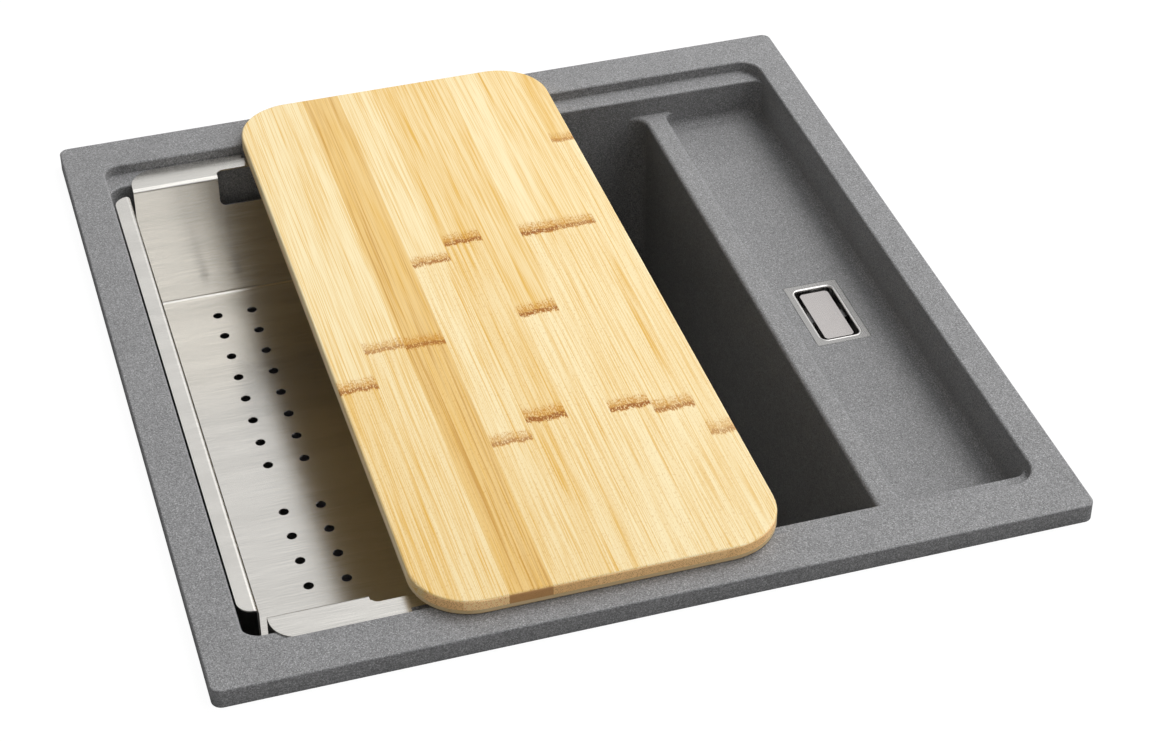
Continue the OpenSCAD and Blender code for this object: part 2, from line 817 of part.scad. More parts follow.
module overflow_screws() {
    color([0.75, 0.75, 0.76]) at_overflow() for (y = [-1, 1]) {
        translate([0, y * overflow_screw_pitch / 2, dish_z]) difference() {
            union() {
                cylinder(r = overflow_head_r, h = overflow_head_h);
                translate([0, 0, -overflow_screw_l])
                    cylinder(r = overflow_screw_r - fit_gap, h = overflow_screw_l);
            }
            translate([-screw_slot_w / 2, -overflow_head_r, overflow_head_h / 2])
                cube([screw_slot_w, 2 * overflow_head_r, overflow_head_h]);
        }
    }
}

module overflow_cover() {
    color([0.78, 0.78, 0.79]) at_overflow()
        slab(cover_w, cover_l, cover_corner, cover_z - cover_t, cover_z);
}

module overflow_clip() {
    reach = dish_w / 2 - clip_gap;
    clip_top = cover_z - cover_t;
    color([0.7, 0.7, 0.72]) at_overflow() {
        translate([-reach, -clip_w / 2, clip_top - clip_t]) cube([2 * reach, clip_w, clip_t]);
        for (x = [-reach, reach - clip_t]) {
            translate([x, -clip_w / 2, dish_z]) cube([clip_t, clip_w, clip_top - dish_z]);
        }
    }
}

// ---- overflow pipe ----

module in_pipe_plane() {
    at_drain() rotate([0, 0, pipe_turn]) children();
}

module pipe_solid(r) {
    bend_x = pipe_span - pipe_bend;
    in_pipe_plane() {
        translate([pipe_span, 0, port_z + pipe_bend])
            cylinder(r = r, h = pipe_top_z - port_z - pipe_bend);
        translate([pipe_end, 0, port_z]) rotate([0, 90, 0]) cylinder(r = r, h = bend_x - pipe_end);
        translate([bend_x, 0, port_z + pipe_bend]) rotate([90, 0, 0]) rotate([0, 0, -90])
            rotate_extrude(angle = 90) translate([pipe_bend, 0]) circle(r);
    }
}

module overflow_pipe() {
    color([0.9, 0.9, 0.88]) difference() {
        pipe_solid(pipe_r);
        pipe_solid(pipe_r - pipe_wall);
        in_pipe_plane() {
            translate([pipe_span, 0, pipe_top_z - over]) cylinder(r = pipe_r - pipe_wall, h = 2 * over);
            translate([pipe_end - over, 0, port_z]) rotate([0, 90, 0])
                cylinder(r = pipe_r - pipe_wall, h = 2 * over);
        }
    }
}

// A nut that grips a socket's end at z = 0; the pipe leaves towards -Z.
module pipe_nut() {
    nut_in_r = socket_r + fit_gap;
    difference() {
        union() {
            translate([0, 0, -washer_t - nut_lip]) cylinder(r = nut_r, h = nut_h);
            for (i = [0 : nut_ribs - 1]) {
                rotate([0, 0, 360 * i / nut_ribs]) translate([nut_r, 0, -washer_t - nut_lip])
                    cylinder(r = nut_rib_r, h = nut_h);
            }
        }
        translate([0, 0, -washer_t]) cylinder(r = nut_in_r, h = nut_h);
        translate([0, 0, -washer_t - nut_lip - over]) cylinder(r = pipe_r + nut_hole_gap, h = nut_h);
    }
}

module pipe_washer() {
    ring(socket_r, pipe_r + fit_gap, -washer_t, 0);
}

module at_upper_socket() {
    in_pipe_plane() translate([pipe_span, 0, upper_socket_z]) children();
}

module at_port() {
    in_pipe_plane() translate([port_end, 0, port_z]) rotate([0, -90, 0]) children();
}

module pipe_nut_upper() {
    color([0.25, 0.26, 0.27]) at_upper_socket() pipe_nut();
}

module pipe_nut_lower() {
    color([0.25, 0.26, 0.27]) at_port() pipe_nut();
}

module pipe_washer_upper() {
    color([0.1, 0.1, 0.1]) at_upper_socket() pipe_washer();
}

module pipe_washer_lower() {
    color([0.1, 0.1, 0.1]) at_port() pipe_washer();
}

// ---- colander ----

// Section of a folded tray: half is half its inner width, reach is how far its flange comes.
module folded_section(half, reach) {
    fold_z = flange_top_z - sheet_t - fold_r;
    translate([-half + fold_r, colander_z - sheet_t]) square([2 * (half - fold_r), sheet_t]);
    for (side = [0, 1]) {
        mirror([side, 0]) {
            translate([half - fold_r, colander_z + fold_r]) quarter_fold(-90);
            translate([half, colander_z + fold_r]) square([sheet_t, fold_z - colander_z - fold_r]);
            translate([half + sheet_t + fold_r, fold_z]) quarter_fold(90);
            translate([half + sheet_t + fold_r, flange_top_z - sheet_t])
                square([reach - half - sheet_t - fold_r, sheet_t]);
        }
    }
}

// A quarter of a fold, from the angle turn on.
module quarter_fold(turn) {
    outer = fold_r + sheet_t;
    rotate(turn) intersection() {
        difference() {
            circle(outer);
            circle(fold_r);
        }
        square(2 * outer);
    }
}

// What is cut from a flange's end to round its outer corner, at the origin.
module corner_trim(r) {
    difference() {
        translate([-r, -r, 0]) cube([r + over, r + over, 4 * sheet_t]);
        translate([-r, -r, -over]) cylinder(r = r, h = 4 * sheet_t + 2 * over);
    }
}

module colander_holes() {
    first_x = colander_w / 2 - hole_margin_x;
    for (side = [-1, 1], end = [-1, 1], i = [0 : hole_columns - 1], j = [1 : hole_rows]) {
        translate([side * (first_x - i * hole_pitch), end * j * hole_pitch, colander_z - sheet_t - over])
            cylinder(r = hole_r, h = sheet_t + 2 * over, $fn = 32);
    }
}

module grip_cut() {
    half = colander_w / 2 - grip_margin;
    in_wall = colander_y - 2 * fold_r;
    translate([0, in_wall, 0]) rotate([-90, 0, 0]) linear_extrude(sheet_t + 4 * fold_r)
        translate([0, -(top_z + top_z - grip_drop) / 2]) rounded_plan(2 * half, grip_drop, grip_corner);
    flange_y = colander_y + sheet_t;
    translate([0, flange_y + grip_in_flange / 2 - grip_corner, flange_top_z - sheet_t - over])
        linear_extrude(sheet_t + 2 * over)
            rounded_plan(2 * half, grip_in_flange + 2 * grip_corner, grip_corner);
}

module colander() {
    end_x = colander_w / 2 - corner_slit_w;
    end_y = colander_y - corner_slit_l;
    step_x = colander_w / 2 - grip_margin - step_inset;
    color([0.78, 0.78, 0.77]) translate([colander_x, colander_shift, 0]) difference() {
        union() {
            translate([-end_x, 0, 0]) rotate([90, 0, 90]) linear_extrude(2 * end_x)
                folded_section(colander_y, flange_end);
            translate([0, end_y, 0]) rotate([90, 0, 0]) linear_extrude(2 * end_y)
                folded_section(colander_w / 2, flange_side_x);
        }
        colander_holes();
        for (mx = [0, 1], my = [0, 1]) {
            mirror([mx, 0, 0]) mirror([0, my, 0]) {
                translate([end_x, flange_end, flange_top_z - 2 * sheet_t])
                    corner_trim(end_flange_corner);
                translate([flange_side_x, end_y, flange_top_z - 2 * sheet_t])
                    corner_trim(side_flange_corner);
            }
        }
        for (my = [0, 1]) {
            mirror([0, my, 0]) {
                grip_cut();
                translate([-step_x, flange_end - flange_step, flange_top_z - 2 * sheet_t])
                    cube([2 * step_x, flange_step + over, 4 * sheet_t]);
            }
        }
    }
}

// ---- board ----

module board_face() {
    color([0.86, 0.7, 0.45]) translate([board_x, board_y, 0])
        pan(-board_w / 2, board_w / 2, board_l / 2, board_corner, board_corner,
            board_joint_z, board_top_z, high = board_round);
}

module board_base() {
    color([0.8, 0.64, 0.4]) translate([board_x, board_y, 0])
        pan(-board_w / 2, board_w / 2, board_l / 2, board_corner, board_corner,
            board_z, board_joint_z, low = board_round);
}

sink_body();
rim_seal();
clamp_inserts();
clamp_screws();
clamp_claw(0);  // clamp_claw_1
clamp_claw(1);  // clamp_claw_2
clamp_claw(2);  // clamp_claw_3
clamp_claw(3);  // clamp_claw_4
clamp_claw(4);  // clamp_claw_5
clamp_claw(5);  // clamp_claw_6
waste_flange();
waste_top_gasket();
waste_low_gasket();
waste_body();
waste_screw();
basket_cup();
basket_plug();
basket_knob();
overflow_frame();
overflow_frame_gasket();
overflow_housing();
overflow_housing_gasket();
overflow_screws();
overflow_cover();
overflow_clip();
overflow_pipe();
pipe_nut_upper();
pipe_nut_lower();
pipe_washer_upper();
pipe_washer_lower();
colander();
board_face();
board_base();
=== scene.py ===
"""Workstation kitchen sink: finishes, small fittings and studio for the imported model."""

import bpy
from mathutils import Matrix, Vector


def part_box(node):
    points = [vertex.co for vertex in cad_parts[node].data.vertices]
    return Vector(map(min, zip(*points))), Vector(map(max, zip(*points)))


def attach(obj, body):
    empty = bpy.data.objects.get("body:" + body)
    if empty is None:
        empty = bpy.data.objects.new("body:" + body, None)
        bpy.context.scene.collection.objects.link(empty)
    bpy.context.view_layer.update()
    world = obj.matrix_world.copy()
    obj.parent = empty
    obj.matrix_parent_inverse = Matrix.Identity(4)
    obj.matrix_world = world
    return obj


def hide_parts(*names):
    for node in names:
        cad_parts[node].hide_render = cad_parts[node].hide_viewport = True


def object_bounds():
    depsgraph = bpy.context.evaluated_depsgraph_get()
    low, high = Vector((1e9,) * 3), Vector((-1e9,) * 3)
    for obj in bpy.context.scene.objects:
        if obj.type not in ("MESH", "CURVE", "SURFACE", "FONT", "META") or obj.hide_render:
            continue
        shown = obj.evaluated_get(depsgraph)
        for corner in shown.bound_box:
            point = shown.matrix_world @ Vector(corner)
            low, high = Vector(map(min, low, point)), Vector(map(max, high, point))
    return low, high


bl_info = {
    "name": "Workstation Kitchen Sink",
    "version": (1, 0, 0),
    "blender": (4, 5, 0),
    "location": "View3D > Sidebar > Sink",
    "description": "Dresses a composite kitchen sink with its colander, board, waste and overflow",
    "category": "Object",
}

from math import cos, pi, radians, sin

import bmesh
import bpy
from bpy.props import FloatProperty, FloatVectorProperty, PointerProperty
from mathutils import Quaternion, Vector

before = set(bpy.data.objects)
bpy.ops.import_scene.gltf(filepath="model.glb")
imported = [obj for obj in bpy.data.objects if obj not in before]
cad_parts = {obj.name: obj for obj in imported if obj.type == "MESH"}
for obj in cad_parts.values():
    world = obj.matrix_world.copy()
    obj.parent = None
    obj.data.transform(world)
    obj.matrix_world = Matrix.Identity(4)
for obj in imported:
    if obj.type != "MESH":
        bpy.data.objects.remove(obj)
CAD_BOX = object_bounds()

MM = 0.001
SINK = "sink"
COVER = "cover"
CLAWS = ["clamp_claw_%d" % i for i in range(1, 7)]

DRAIN = (-0.042, 0.0)

# How far the clamps' rows are from the middle, the screws' radius in the CAD and that of the core
# under their thread, the heights of their heads' lower faces and of the thread's end in the head.
CLAMP_ROW = 0.247
SCREW_R, SCREW_CORE = 3 * MM, 2.6 * MM
SCREW_HEAD, SCREW_FOOT = -0.0503, -0.0485

# The outlet's radius in the CAD and under its thread, and how far up it is thinned.
OUTLET_R, OUTLET_CORE, OUTLET_RISE = 23.9 * MM, 22.9 * MM, 34.9 * MM

# The camera that the photograph was taken with.
PHOTO_LENS, PHOTO_SENSOR = 83.40, 36
PHOTO_EYE = (-0.3627, -1.2828, 1.0134)
PHOTO_YAW, PHOTO_PITCH, PHOTO_ROLL = 16.994, 38.191, -0.176

# Half the sides of the worktop's cut-out, and the thickness of the sheet that stands for it.
CUTOUT = (0.245, 0.260)
SHEET_THICK = 0.003

# Planes inside the casting's walls and floors: it is smooth within them and left rough beyond.
# They stand at both ends, left and right, and at the bowl's wall below the tray, and lie under
# the rim, the tray and the bowl.
END_WALL, LEFT_WALL, RIGHT_WALL, BOWL_WALL = 0.2295, -0.234, 0.2375, 0.15
RIM_UNDER, TRAY_UNDER, BOWL_UNDER = -0.0003, -0.0275, -0.196

# Colours of the rough casting and of the grains in the smooth one.
ROUGH_CAST = ((0.17, 0.175, 0.18, 1), (0.23, 0.235, 0.24, 1))
LIGHT_GRAIN = (0.6, 0.6, 0.6, 1)
DARK_GRAIN = (0.06, 0.06, 0.061, 1)

# Where the board's first strip starts and where its one dark strip is centred. Half the width of
# a strip in millimetres, and that of the strips at the board's edges by their middles.
FIRST_STRIP = -87.6 * MM
DARK_STRIP = -75 * MM
STRIP_HALF = 12.4
EDGE_STRIPS = {-124.0: 12.0, 70.0: 7.8}

# Each joint of the canes in millimetres: the middle of its strip, its place along the board,
# how brown it is from 0 to 1, and how far its fringe reaches.
BAMBOO_JOINTS = [
    (-50.0, 55.0, 0.75, 7.0),
    (-25.0, 71.5, 0.9, 8.0),
    (25.0, 67.5, 1.0, 9.0),
    (50.0, 68.0, 0.7, 8.0),
    (70.0, 165.5, 0.5, 7.0),
    (0.0, -14.5, 0.9, 8.0),
    (-100.0, -23.0, 0.55, 7.0),
    (-75.0, -26.0, 0.75, 8.0),
    (-124.0, -57.0, 0.8, 8.0),
    (-25.0, -115.0, 1.0, 9.0),
    (-50.0, -130.0, 0.6, 7.0),
    (25.0, -120.0, 1.0, 8.0),
    (50.0, -128.0, 0.7, 8.0),
    (70.0, -157.0, 0.45, 9.0),
]


def linear(channel):
    """One sRGB channel from 0 to 255 as a linear value."""
    c = channel / 255
    return c / 12.92 if c <= 0.04045 else ((c + 0.055) / 1.055) ** 2.4


def tint(red, green, blue, level=1.0):
    """An sRGB colour as a linear RGBA, divided by the light that falls on it."""
    return tuple(linear(c) / level for c in (red, green, blue)) + (1.0,)


# ---- settings ----


class SINK_PG_granite(bpy.types.PropertyGroup):
    """Sizes and colours of the casting."""

    stone: FloatVectorProperty(
        name="Stone", description="Colour of the composite between its grains", subtype="COLOR",
        size=4, min=0, max=1, default=tint(153, 153, 154, 1.47))
    grain: FloatProperty(
        name="Grain", description="Size of the visible grains", unit="LENGTH", default=0.8 * MM,
        min=0.2 * MM, max=5 * MM)
    light_share: FloatProperty(
        name="Light grains", description="Share of the grains that are light", subtype="FACTOR",
        default=0.34, min=0, max=1)
    dark_share: FloatProperty(
        name="Dark grains", description="Share of the grains that are dark", subtype="FACTOR",
        default=0.34, min=0, max=1)


class SINK_PG_bamboo(bpy.types.PropertyGroup):
    """Sizes and colours of the cutting board."""

    strip: FloatProperty(
        name="Strip", description="Width of one glued strip", unit="LENGTH", default=25 * MM,
        min=5 * MM, max=60 * MM)
    pale: FloatVectorProperty(
        name="Pale", description="Colour of the palest wood", subtype="COLOR", size=4, min=0, max=1,
        default=tint(250, 232, 186, 1.17))
    honey: FloatVectorProperty(
        name="Honey", description="Colour of the fibres", subtype="COLOR", size=4, min=0, max=1,
        default=tint(229, 181, 84, 1.17))
    fringe: FloatVectorProperty(
        name="Fringe", description="Colour of the ticks beside a joint", subtype="COLOR", size=4, min=0,
        max=1, default=tint(214, 148, 10, 1.17))
    joint: FloatVectorProperty(
        name="Joints", description="Colour of the joints of the cane", subtype="COLOR", size=4,
        min=0, max=1, default=tint(152, 84, 10, 1.17))


class SINK_PG_steel(bpy.types.PropertyGroup):
    """Colours of the metal parts."""

    sheet: FloatVectorProperty(
        name="Sheet", description="Colour of the brushed colander", subtype="COLOR", size=4, min=0,
        max=1, default=(0.84, 0.818, 0.775, 1))
    fittings: FloatVectorProperty(
        name="Fittings", description="Colour of the waste and overflow fittings", subtype="COLOR",
        size=4, min=0, max=1, default=(0.54, 0.512, 0.5, 1))
    surround: FloatVectorProperty(
        name="Surround", description="Colour of the overflow's frame", subtype="COLOR", size=4, min=0,
        max=1, default=(0.405, 0.398, 0.39, 1))
    # The bead is the frame's own rolled edge, but its steel is given a much lighter colour than the
    # frame: partly a painted highlight along the edge.
    lip: FloatVectorProperty(
        name="Lip", description="Colour of the bead round the overflow's dish", subtype="COLOR", size=4,
        min=0, max=1, default=(0.85, 0.83, 0.81, 1))
    spring: FloatVectorProperty(
        name="Spring", description="Colour of the overflow's spring clip", subtype="COLOR", size=4,
        min=0, max=1, default=(0.12, 0.12, 0.125, 1))
    plated: FloatVectorProperty(
        name="Plated", description="Colour of the zinc-plated clamps and screws", subtype="COLOR",
        size=4, min=0, max=1, default=(0.5, 0.51, 0.52, 1))


class SINK_PG_plumbing(bpy.types.PropertyGroup):
    """Sizes of the threads and colours of the mouldings below the sink."""

    outlet_pitch: FloatProperty(
        name="Outlet pitch", description="Pitch of the outlet's thread", unit="LENGTH",
        default=2.3 * MM, min=1 * MM, max=5 * MM)
    screw_pitch: FloatProperty(
        name="Screw pitch", description="Pitch of the clamp screws' thread", unit="LENGTH",
        default=1 * MM, min=0.5 * MM, max=3 * MM)
    white: FloatVectorProperty(
        name="White", description="Colour of the white mouldings", subtype="COLOR", size=4, min=0,
        max=1, default=(0.55, 0.55, 0.53, 1))
    dark: FloatVectorProperty(
        name="Dark", description="Colour of the pipe nuts", subtype="COLOR", size=4, min=0, max=1,
        default=(0.035, 0.037, 0.04, 1))


class SINK_PG_studio(bpy.types.PropertyGroup):
    """Light and ground."""

    light: FloatProperty(
        name="Light", description="Power of the softbox over the sink", unit="POWER", default=12.5, min=1,
        max=2000)
    margin: FloatProperty(
        name="Margin", description="Width of the white sheet round the sink", unit="LENGTH",
        default=0.3, min=0.05, max=2)


# ---- node wiring ----


class Wiring:
    """Short ways to place and join nodes in one tree."""

    def __init__(self, tree):
        self.tree = tree

    def put(self, socket, value):
        if isinstance(value, bpy.types.NodeSocket):
            self.tree.links.new(value, socket)
        else:
            socket.default_value = value

    def add(self, kind, values=(), **props):
        node = self.tree.nodes.new(kind)
        for key, value in props.items():
            setattr(node, key, value)
        for key, value in dict(values).items():
            self.put(node.inputs[key], value)
        return node

    def math(self, operation, a, b=0.0, clamp=False):
        return self.add("ShaderNodeMath", {0: a, 1: b}, operation=operation, use_clamp=clamp).outputs[0]

    def vector(self, operation, a, b=(0.0, 0.0, 0.0)):
        return self.add("ShaderNodeVectorMath", {0: a, 1: b}, operation=operation).outputs[0]

    def ramp(self, value, low, high, to_low=0.0, to_high=1.0):
        values = {0: value, 1: low, 2: high, 3: to_low, 4: to_high}
        return self.add("ShaderNodeMapRange", values, interpolation_type="SMOOTHSTEP").outputs[0]

    def mix(self, amount, a, b, blend="MIX"):
        values = {0: amount, 6: a, 7: b}
        return self.add("ShaderNodeMix", values, data_type="RGBA", blend_type=blend).outputs[2]

    def blend(self, amount, a, b):
        return self.add("ShaderNodeMix", {0: amount, 2: a, 3: b}, data_type="FLOAT").outputs[0]

    def noise(self, place, scale, detail=2.0, roughness=0.5):
        values = {"Vector": place, "Scale": scale, "Detail": detail, "Roughness": roughness}
        return self.add("ShaderNodeTexNoise", values).outputs[0]

    def combine(self, x, y=0.0, z=0.0):
        return self.add("ShaderNodeCombineXYZ", {0: x, 1: y, 2: z}).outputs[0]

    def shade(self, colour, level):
        """A colour made lighter or darker by one level."""
        return self.vector("MULTIPLY", colour, self.combine(level, level, level))

    def split(self, vector):
        return self.add("ShaderNodeSeparateXYZ", {0: vector}).outputs

    def place(self):
        return self.add("ShaderNodeTexCoord").outputs["Object"]

    def facing(self):
        """The parts of the surface's direction along X, Y and Z, without their signs."""
        normal = self.add("ShaderNodeNewGeometry").outputs["Normal"]
        return self.split(self.vector("ABSOLUTE", normal))

    def use(self, group, **values):
        node = self.tree.nodes.new("ShaderNodeGroup")
        node.node_tree = bpy.data.node_groups[group]
        for key, value in values.items():
            self.put(node.inputs[key.replace("_", " ")], value)
        return node.outputs


def shader_group(name, inputs, outputs):
    """An empty shader group with its sockets: the wiring, its inputs and its output node."""
    tree = bpy.data.node_groups.new(name, "ShaderNodeTree")
    for label, kind in inputs:
        tree.interface.new_socket(label, in_out="INPUT", socket_type="NodeSocket" + kind)
    for label, kind in outputs:
        tree.interface.new_socket(label, in_out="OUTPUT", socket_type="NodeSocket" + kind)
    wire = Wiring(tree)
    return wire, wire.add("NodeGroupInput").outputs, wire.add("NodeGroupOutput").inputs


def material(name, roughness, metallic=0.0, specular=0.5):
    """A new material: its wiring and its Principled shader's inputs."""
    made = bpy.data.materials.new(name)
    made.use_nodes = True
    shader = made.node_tree.nodes["Principled BSDF"].inputs
    shader["Roughness"].default_value = roughness
    shader["Metallic"].default_value = metallic
    shader["Specular IOR Level"].default_value = specular
    return made, Wiring(made.node_tree), shader


def bump(wire, shader, height, distance, strength=1.0):
    values = {"Height": height, "Distance": distance, "Strength": strength}
    wire.put(shader["Normal"], wire.add("ShaderNodeBump", values).outputs[0])


# ---- effects that several finishes share ----


def make_grain_group():
    """Fine grains of stone: light and dark ones scattered in a plain ground."""
    wire, given, result = shader_group(
        "stone_grain",
        [("Place", "Vector"), ("Stone", "Color"), ("Size", "Float"), ("Light Share", "Float"),
         ("Dark Share", "Float")],
        [("Color", "Color"), ("Height", "Float")])
    scale = wire.math("DIVIDE", 1.0, given["Size"])
    cells = wire.add("ShaderNodeTexVoronoi", {"Vector": given["Place"], "Scale": scale}).outputs
    chance = wire.add("ShaderNodeSeparateColor", {0: cells["Color"]}).outputs
    body = wire.ramp(cells["Distance"], 0.62, 0.3)
    light = wire.math("GREATER_THAN", given["Light Share"], chance[0])
    dark = wire.math("GREATER_THAN", given["Dark Share"], chance[1])
    light = wire.math("MULTIPLY", light, body)
    dark = wire.math("MULTIPLY", dark, body)
    fine = wire.noise(given["Place"], wire.math("MULTIPLY", scale, 0.95), 2.0, 0.7)
    cloud = wire.noise(given["Place"], 45.0, 3.0)
    level = wire.ramp(fine, 0.32, 0.68, 0.66, 1.34)
    level = wire.math("MULTIPLY", level, wire.ramp(cloud, 0.3, 0.7, 0.96, 1.04))
    ground = wire.shade(given["Stone"], level)
    paler = wire.mix(wire.math("MULTIPLY", light, 0.36), ground, LIGHT_GRAIN)
    wire.put(result["Color"], wire.mix(wire.math("MULTIPLY", dark, 0.5), paler, DARK_GRAIN))
    wire.put(result["Height"], wire.math("ADD", fine, wire.math("MULTIPLY", light, 0.5)))


def make_brush_group():
    """Long fine scratches that run one way."""
    wire, given, result = shader_group(
        "brush_lines", [("Across", "Float"), ("Along", "Float"), ("Density", "Float")],
        [("Lines", "Float"), ("Bands", "Float")])
    place = wire.combine(given["Across"], wire.math("MULTIPLY", given["Along"], 0.012))
    wire.put(result["Lines"], wire.noise(place, given["Density"], 3.0, 0.7))
    wide = wire.combine(given["Across"], wire.math("MULTIPLY", given["Along"], 0.05))
    wire.put(result["Bands"], wire.noise(wide, 60.0, 2.0, 0.5))


def make_fibre_group():
    """Glued strips of bamboo: fibres along the strips, and a tone of its own for each."""
    wire, given, result = shader_group(
        "bamboo_fibre",
        [("Across", "Float"), ("Along", "Float"), ("Depth", "Float"), ("Strip", "Float"),
         ("Start", "Float"), ("Segment", "Float"), ("Pale", "Color"), ("Honey", "Color")],
        [("Color", "Color"), ("Height", "Float"), ("Tone", "Float")])
    step = wire.math("DIVIDE", wire.math("SUBTRACT", given["Across"], given["Start"]), given["Strip"])
    index = wire.math("ADD", wire.math("FLOOR", step), wire.math("MULTIPLY", given["Segment"], 17.0))
    chance = wire.add("ShaderNodeTexWhiteNoise", {"W": index}, noise_dimensions="1D").outputs["Value"]
    along = wire.math("ADD", given["Along"], wire.math("MULTIPLY", index, 0.83))
    thin = wire.combine(given["Across"], wire.math("MULTIPLY", along, 0.006), given["Depth"])
    fibre = wire.noise(thin, 2100.0, 2.0, 0.6)
    mid = wire.combine(given["Across"], wire.math("MULTIPLY", along, 0.009), given["Depth"])
    streak = wire.noise(mid, 760.0, 3.0, 0.6)
    wide = wire.noise(wire.combine(given["Across"], wire.math("MULTIPLY", along, 0.035)), 110.0, 2.0)
    tone = wire.ramp(fibre, 0.47, 0.64, 0.0, 0.55)
    tone = wire.math("ADD", tone, wire.ramp(streak, 0.5, 0.66, 0.0, 0.42))
    tone = wire.math("ADD", tone, wire.ramp(wide, 0.42, 0.66, 0.0, 0.2))
    tone = wire.math("ADD", tone, wire.ramp(chance, 0.0, 1.0, -0.06, 0.26))
    edge = wire.math("ABSOLUTE", wire.math("SUBTRACT", wire.math("FRACT", step), 0.5))
    seam = wire.ramp(edge, 0.488, 0.5)
    tone = wire.math("ADD", tone, wire.math("MULTIPLY", seam, 0.2), clamp=True)
    wire.put(result["Color"], wire.mix(tone, given["Pale"], given["Honey"]))
    wire.put(result["Height"], wire.math("SUBTRACT", wire.math("MULTIPLY", fibre, -0.6), seam))
    wire.put(result["Tone"], streak)


def make_joint_group():
    """The joint of a cane on one strip: a ragged dark edge under a fringe of short brown ticks."""
    wire, given, result = shader_group(
        "bamboo_joint",
        [("Across", "Float"), ("Along", "Float"), ("Ticks", "Float"), ("Wave", "Float"),
         ("Middle", "Float"), ("Edge", "Float"), ("Half", "Float"), ("Reach", "Float"),
         ("Weight", "Float")],
        [("Dashes", "Float"), ("Fringe", "Float"), ("Below", "Float")])
    off = wire.math("ABSOLUTE", wire.math("SUBTRACT", given["Across"], given["Middle"]))
    inside = wire.math("LESS_THAN", off, given["Half"])
    high = wire.math("SUBTRACT", wire.math("SUBTRACT", given["Along"], given["Edge"]), given["Wave"])
    level = wire.math("DIVIDE", high, given["Reach"])
    sparse = wire.ramp(level, 0.2, 1.2, 0.4, 1.1)
    sparse = wire.math("MAXIMUM", sparse, wire.ramp(level, -0.25, 0.0, 1.0, 0.3))
    ticks = wire.ramp(wire.math("SUBTRACT", given["Ticks"], sparse), -0.1, 0.15)
    ticks = wire.math("MULTIPLY", ticks, inside)
    glow = wire.math("MULTIPLY", wire.ramp(level, -0.1, 0.05), wire.ramp(level, 1.15, 0.3, 0.0, 0.4))
    glow = wire.math("MULTIPLY", glow, inside)
    strength = wire.ramp(given["Weight"], 0.2, 1.0, 0.6, 1.0)
    wire.put(result["Fringe"], wire.math("MULTIPLY", wire.math("MAXIMUM", ticks, glow), strength))
    near = wire.ramp(wire.math("ABSOLUTE", wire.math("SUBTRACT", level, 0.08)), 0.24, 0.07)
    wire.put(result["Dashes"], wire.math("MULTIPLY", wire.math("MULTIPLY", near, ticks), given["Weight"]))
    wire.put(result["Below"], wire.math("MULTIPLY", wire.math("LESS_THAN", level, 0.0), inside))


def make_wear_group():
    """Light scuffs and dust in patches, for parts that are handled or out of sight."""
    wire, given, result = shader_group(
        "scuffs", [("Place", "Vector"), ("Scale", "Float")], [("Mask", "Float"), ("Fine", "Float")])
    patch = wire.noise(given["Place"], given["Scale"], 4.0, 0.6)
    fine = wire.noise(given["Place"], wire.math("MULTIPLY", given["Scale"], 14.0), 2.0, 0.7)
    wire.put(result["Mask"], wire.ramp(wire.math("MULTIPLY", patch, fine), 0.22, 0.42))
    wire.put(result["Fine"], fine)


# ---- finishes ----


def granite_finish(settings):
    """Speckled composite: smooth where it shows, as cast behind."""
    made, wire, shader = material("speckled_granite", 0.52, specular=0.3)
    place = wire.place()
    x, y, z = wire.split(place)
    grain = wire.use("stone_grain", Place=place, Stone=settings.stone, Size=settings.grain,
                     Light_Share=settings.light_share, Dark_Share=settings.dark_share)
    out = wire.math("SUBTRACT", wire.math("ABSOLUTE", y), END_WALL)
    out = wire.math("MAXIMUM", out, wire.math("SUBTRACT", LEFT_WALL, x))
    out = wire.math("MAXIMUM", out, wire.math("SUBTRACT", x, RIGHT_WALL))
    below = wire.math("LESS_THAN", z, RIM_UNDER)
    under_tray = wire.math("LESS_THAN", z, TRAY_UNDER)
    deep = wire.math("MULTIPLY", wire.math("GREATER_THAN", x, BOWL_WALL), under_tray)
    deep = wire.math("MAXIMUM", deep, wire.math("LESS_THAN", z, BOWL_UNDER))
    back = wire.math("MULTIPLY", wire.math("GREATER_THAN", out, 0.0), below)
    back = wire.math("MAXIMUM", back, deep)
    wear = wire.use("scuffs", Place=place, Scale=30.0)
    cast = wire.mix(wear["Mask"], *ROUGH_CAST)
    wire.put(shader["Base Color"], wire.mix(wire.math("MULTIPLY", back, 0.75), grain["Color"], cast))
    wire.put(shader["Roughness"], wire.blend(back, 0.5, 0.75))
    height = wire.math("ADD", grain["Height"], wire.math("MULTIPLY", back, wear["Fine"]))
    bump(wire, shader, height, 0.00012, 0.5)
    return made


def sheet_finish(settings):
    """Brushed sheet steel, its lines along X as rolled and so upright on the side walls."""
    made, wire, shader = material("brushed_sheet", 0.3, metallic=1.0)
    place = wire.place()
    x, y, z = wire.split(place)
    nx, ny, _ = wire.facing()
    side = wire.math("GREATER_THAN", nx, 0.7)
    end = wire.math("GREATER_THAN", ny, 0.7)
    across = wire.blend(end, y, z)
    along = wire.blend(side, x, z)
    lines = wire.use("brush_lines", Across=across, Along=along, Density=2600.0)
    tone = wire.ramp(lines["Lines"], 0.3, 0.7, -0.1, 0.1)
    tone = wire.math("ADD", tone, wire.ramp(lines["Bands"], 0.3, 0.7, -0.04, 0.04))
    wire.put(shader["Base Color"], wire.shade(settings.sheet[:3], wire.math("ADD", 1.0, tone)))
    wire.put(shader["Roughness"], wire.ramp(lines["Lines"], 0.3, 0.7, 0.2, 0.27))
    shader["Anisotropic"].default_value = 0.8
    wire.put(shader["Tangent"], wire.combine(0.0, wire.math("SUBTRACT", 1.0, end), end))
    bump(wire, shader, lines["Lines"], 0.00006, 0.35)
    return made


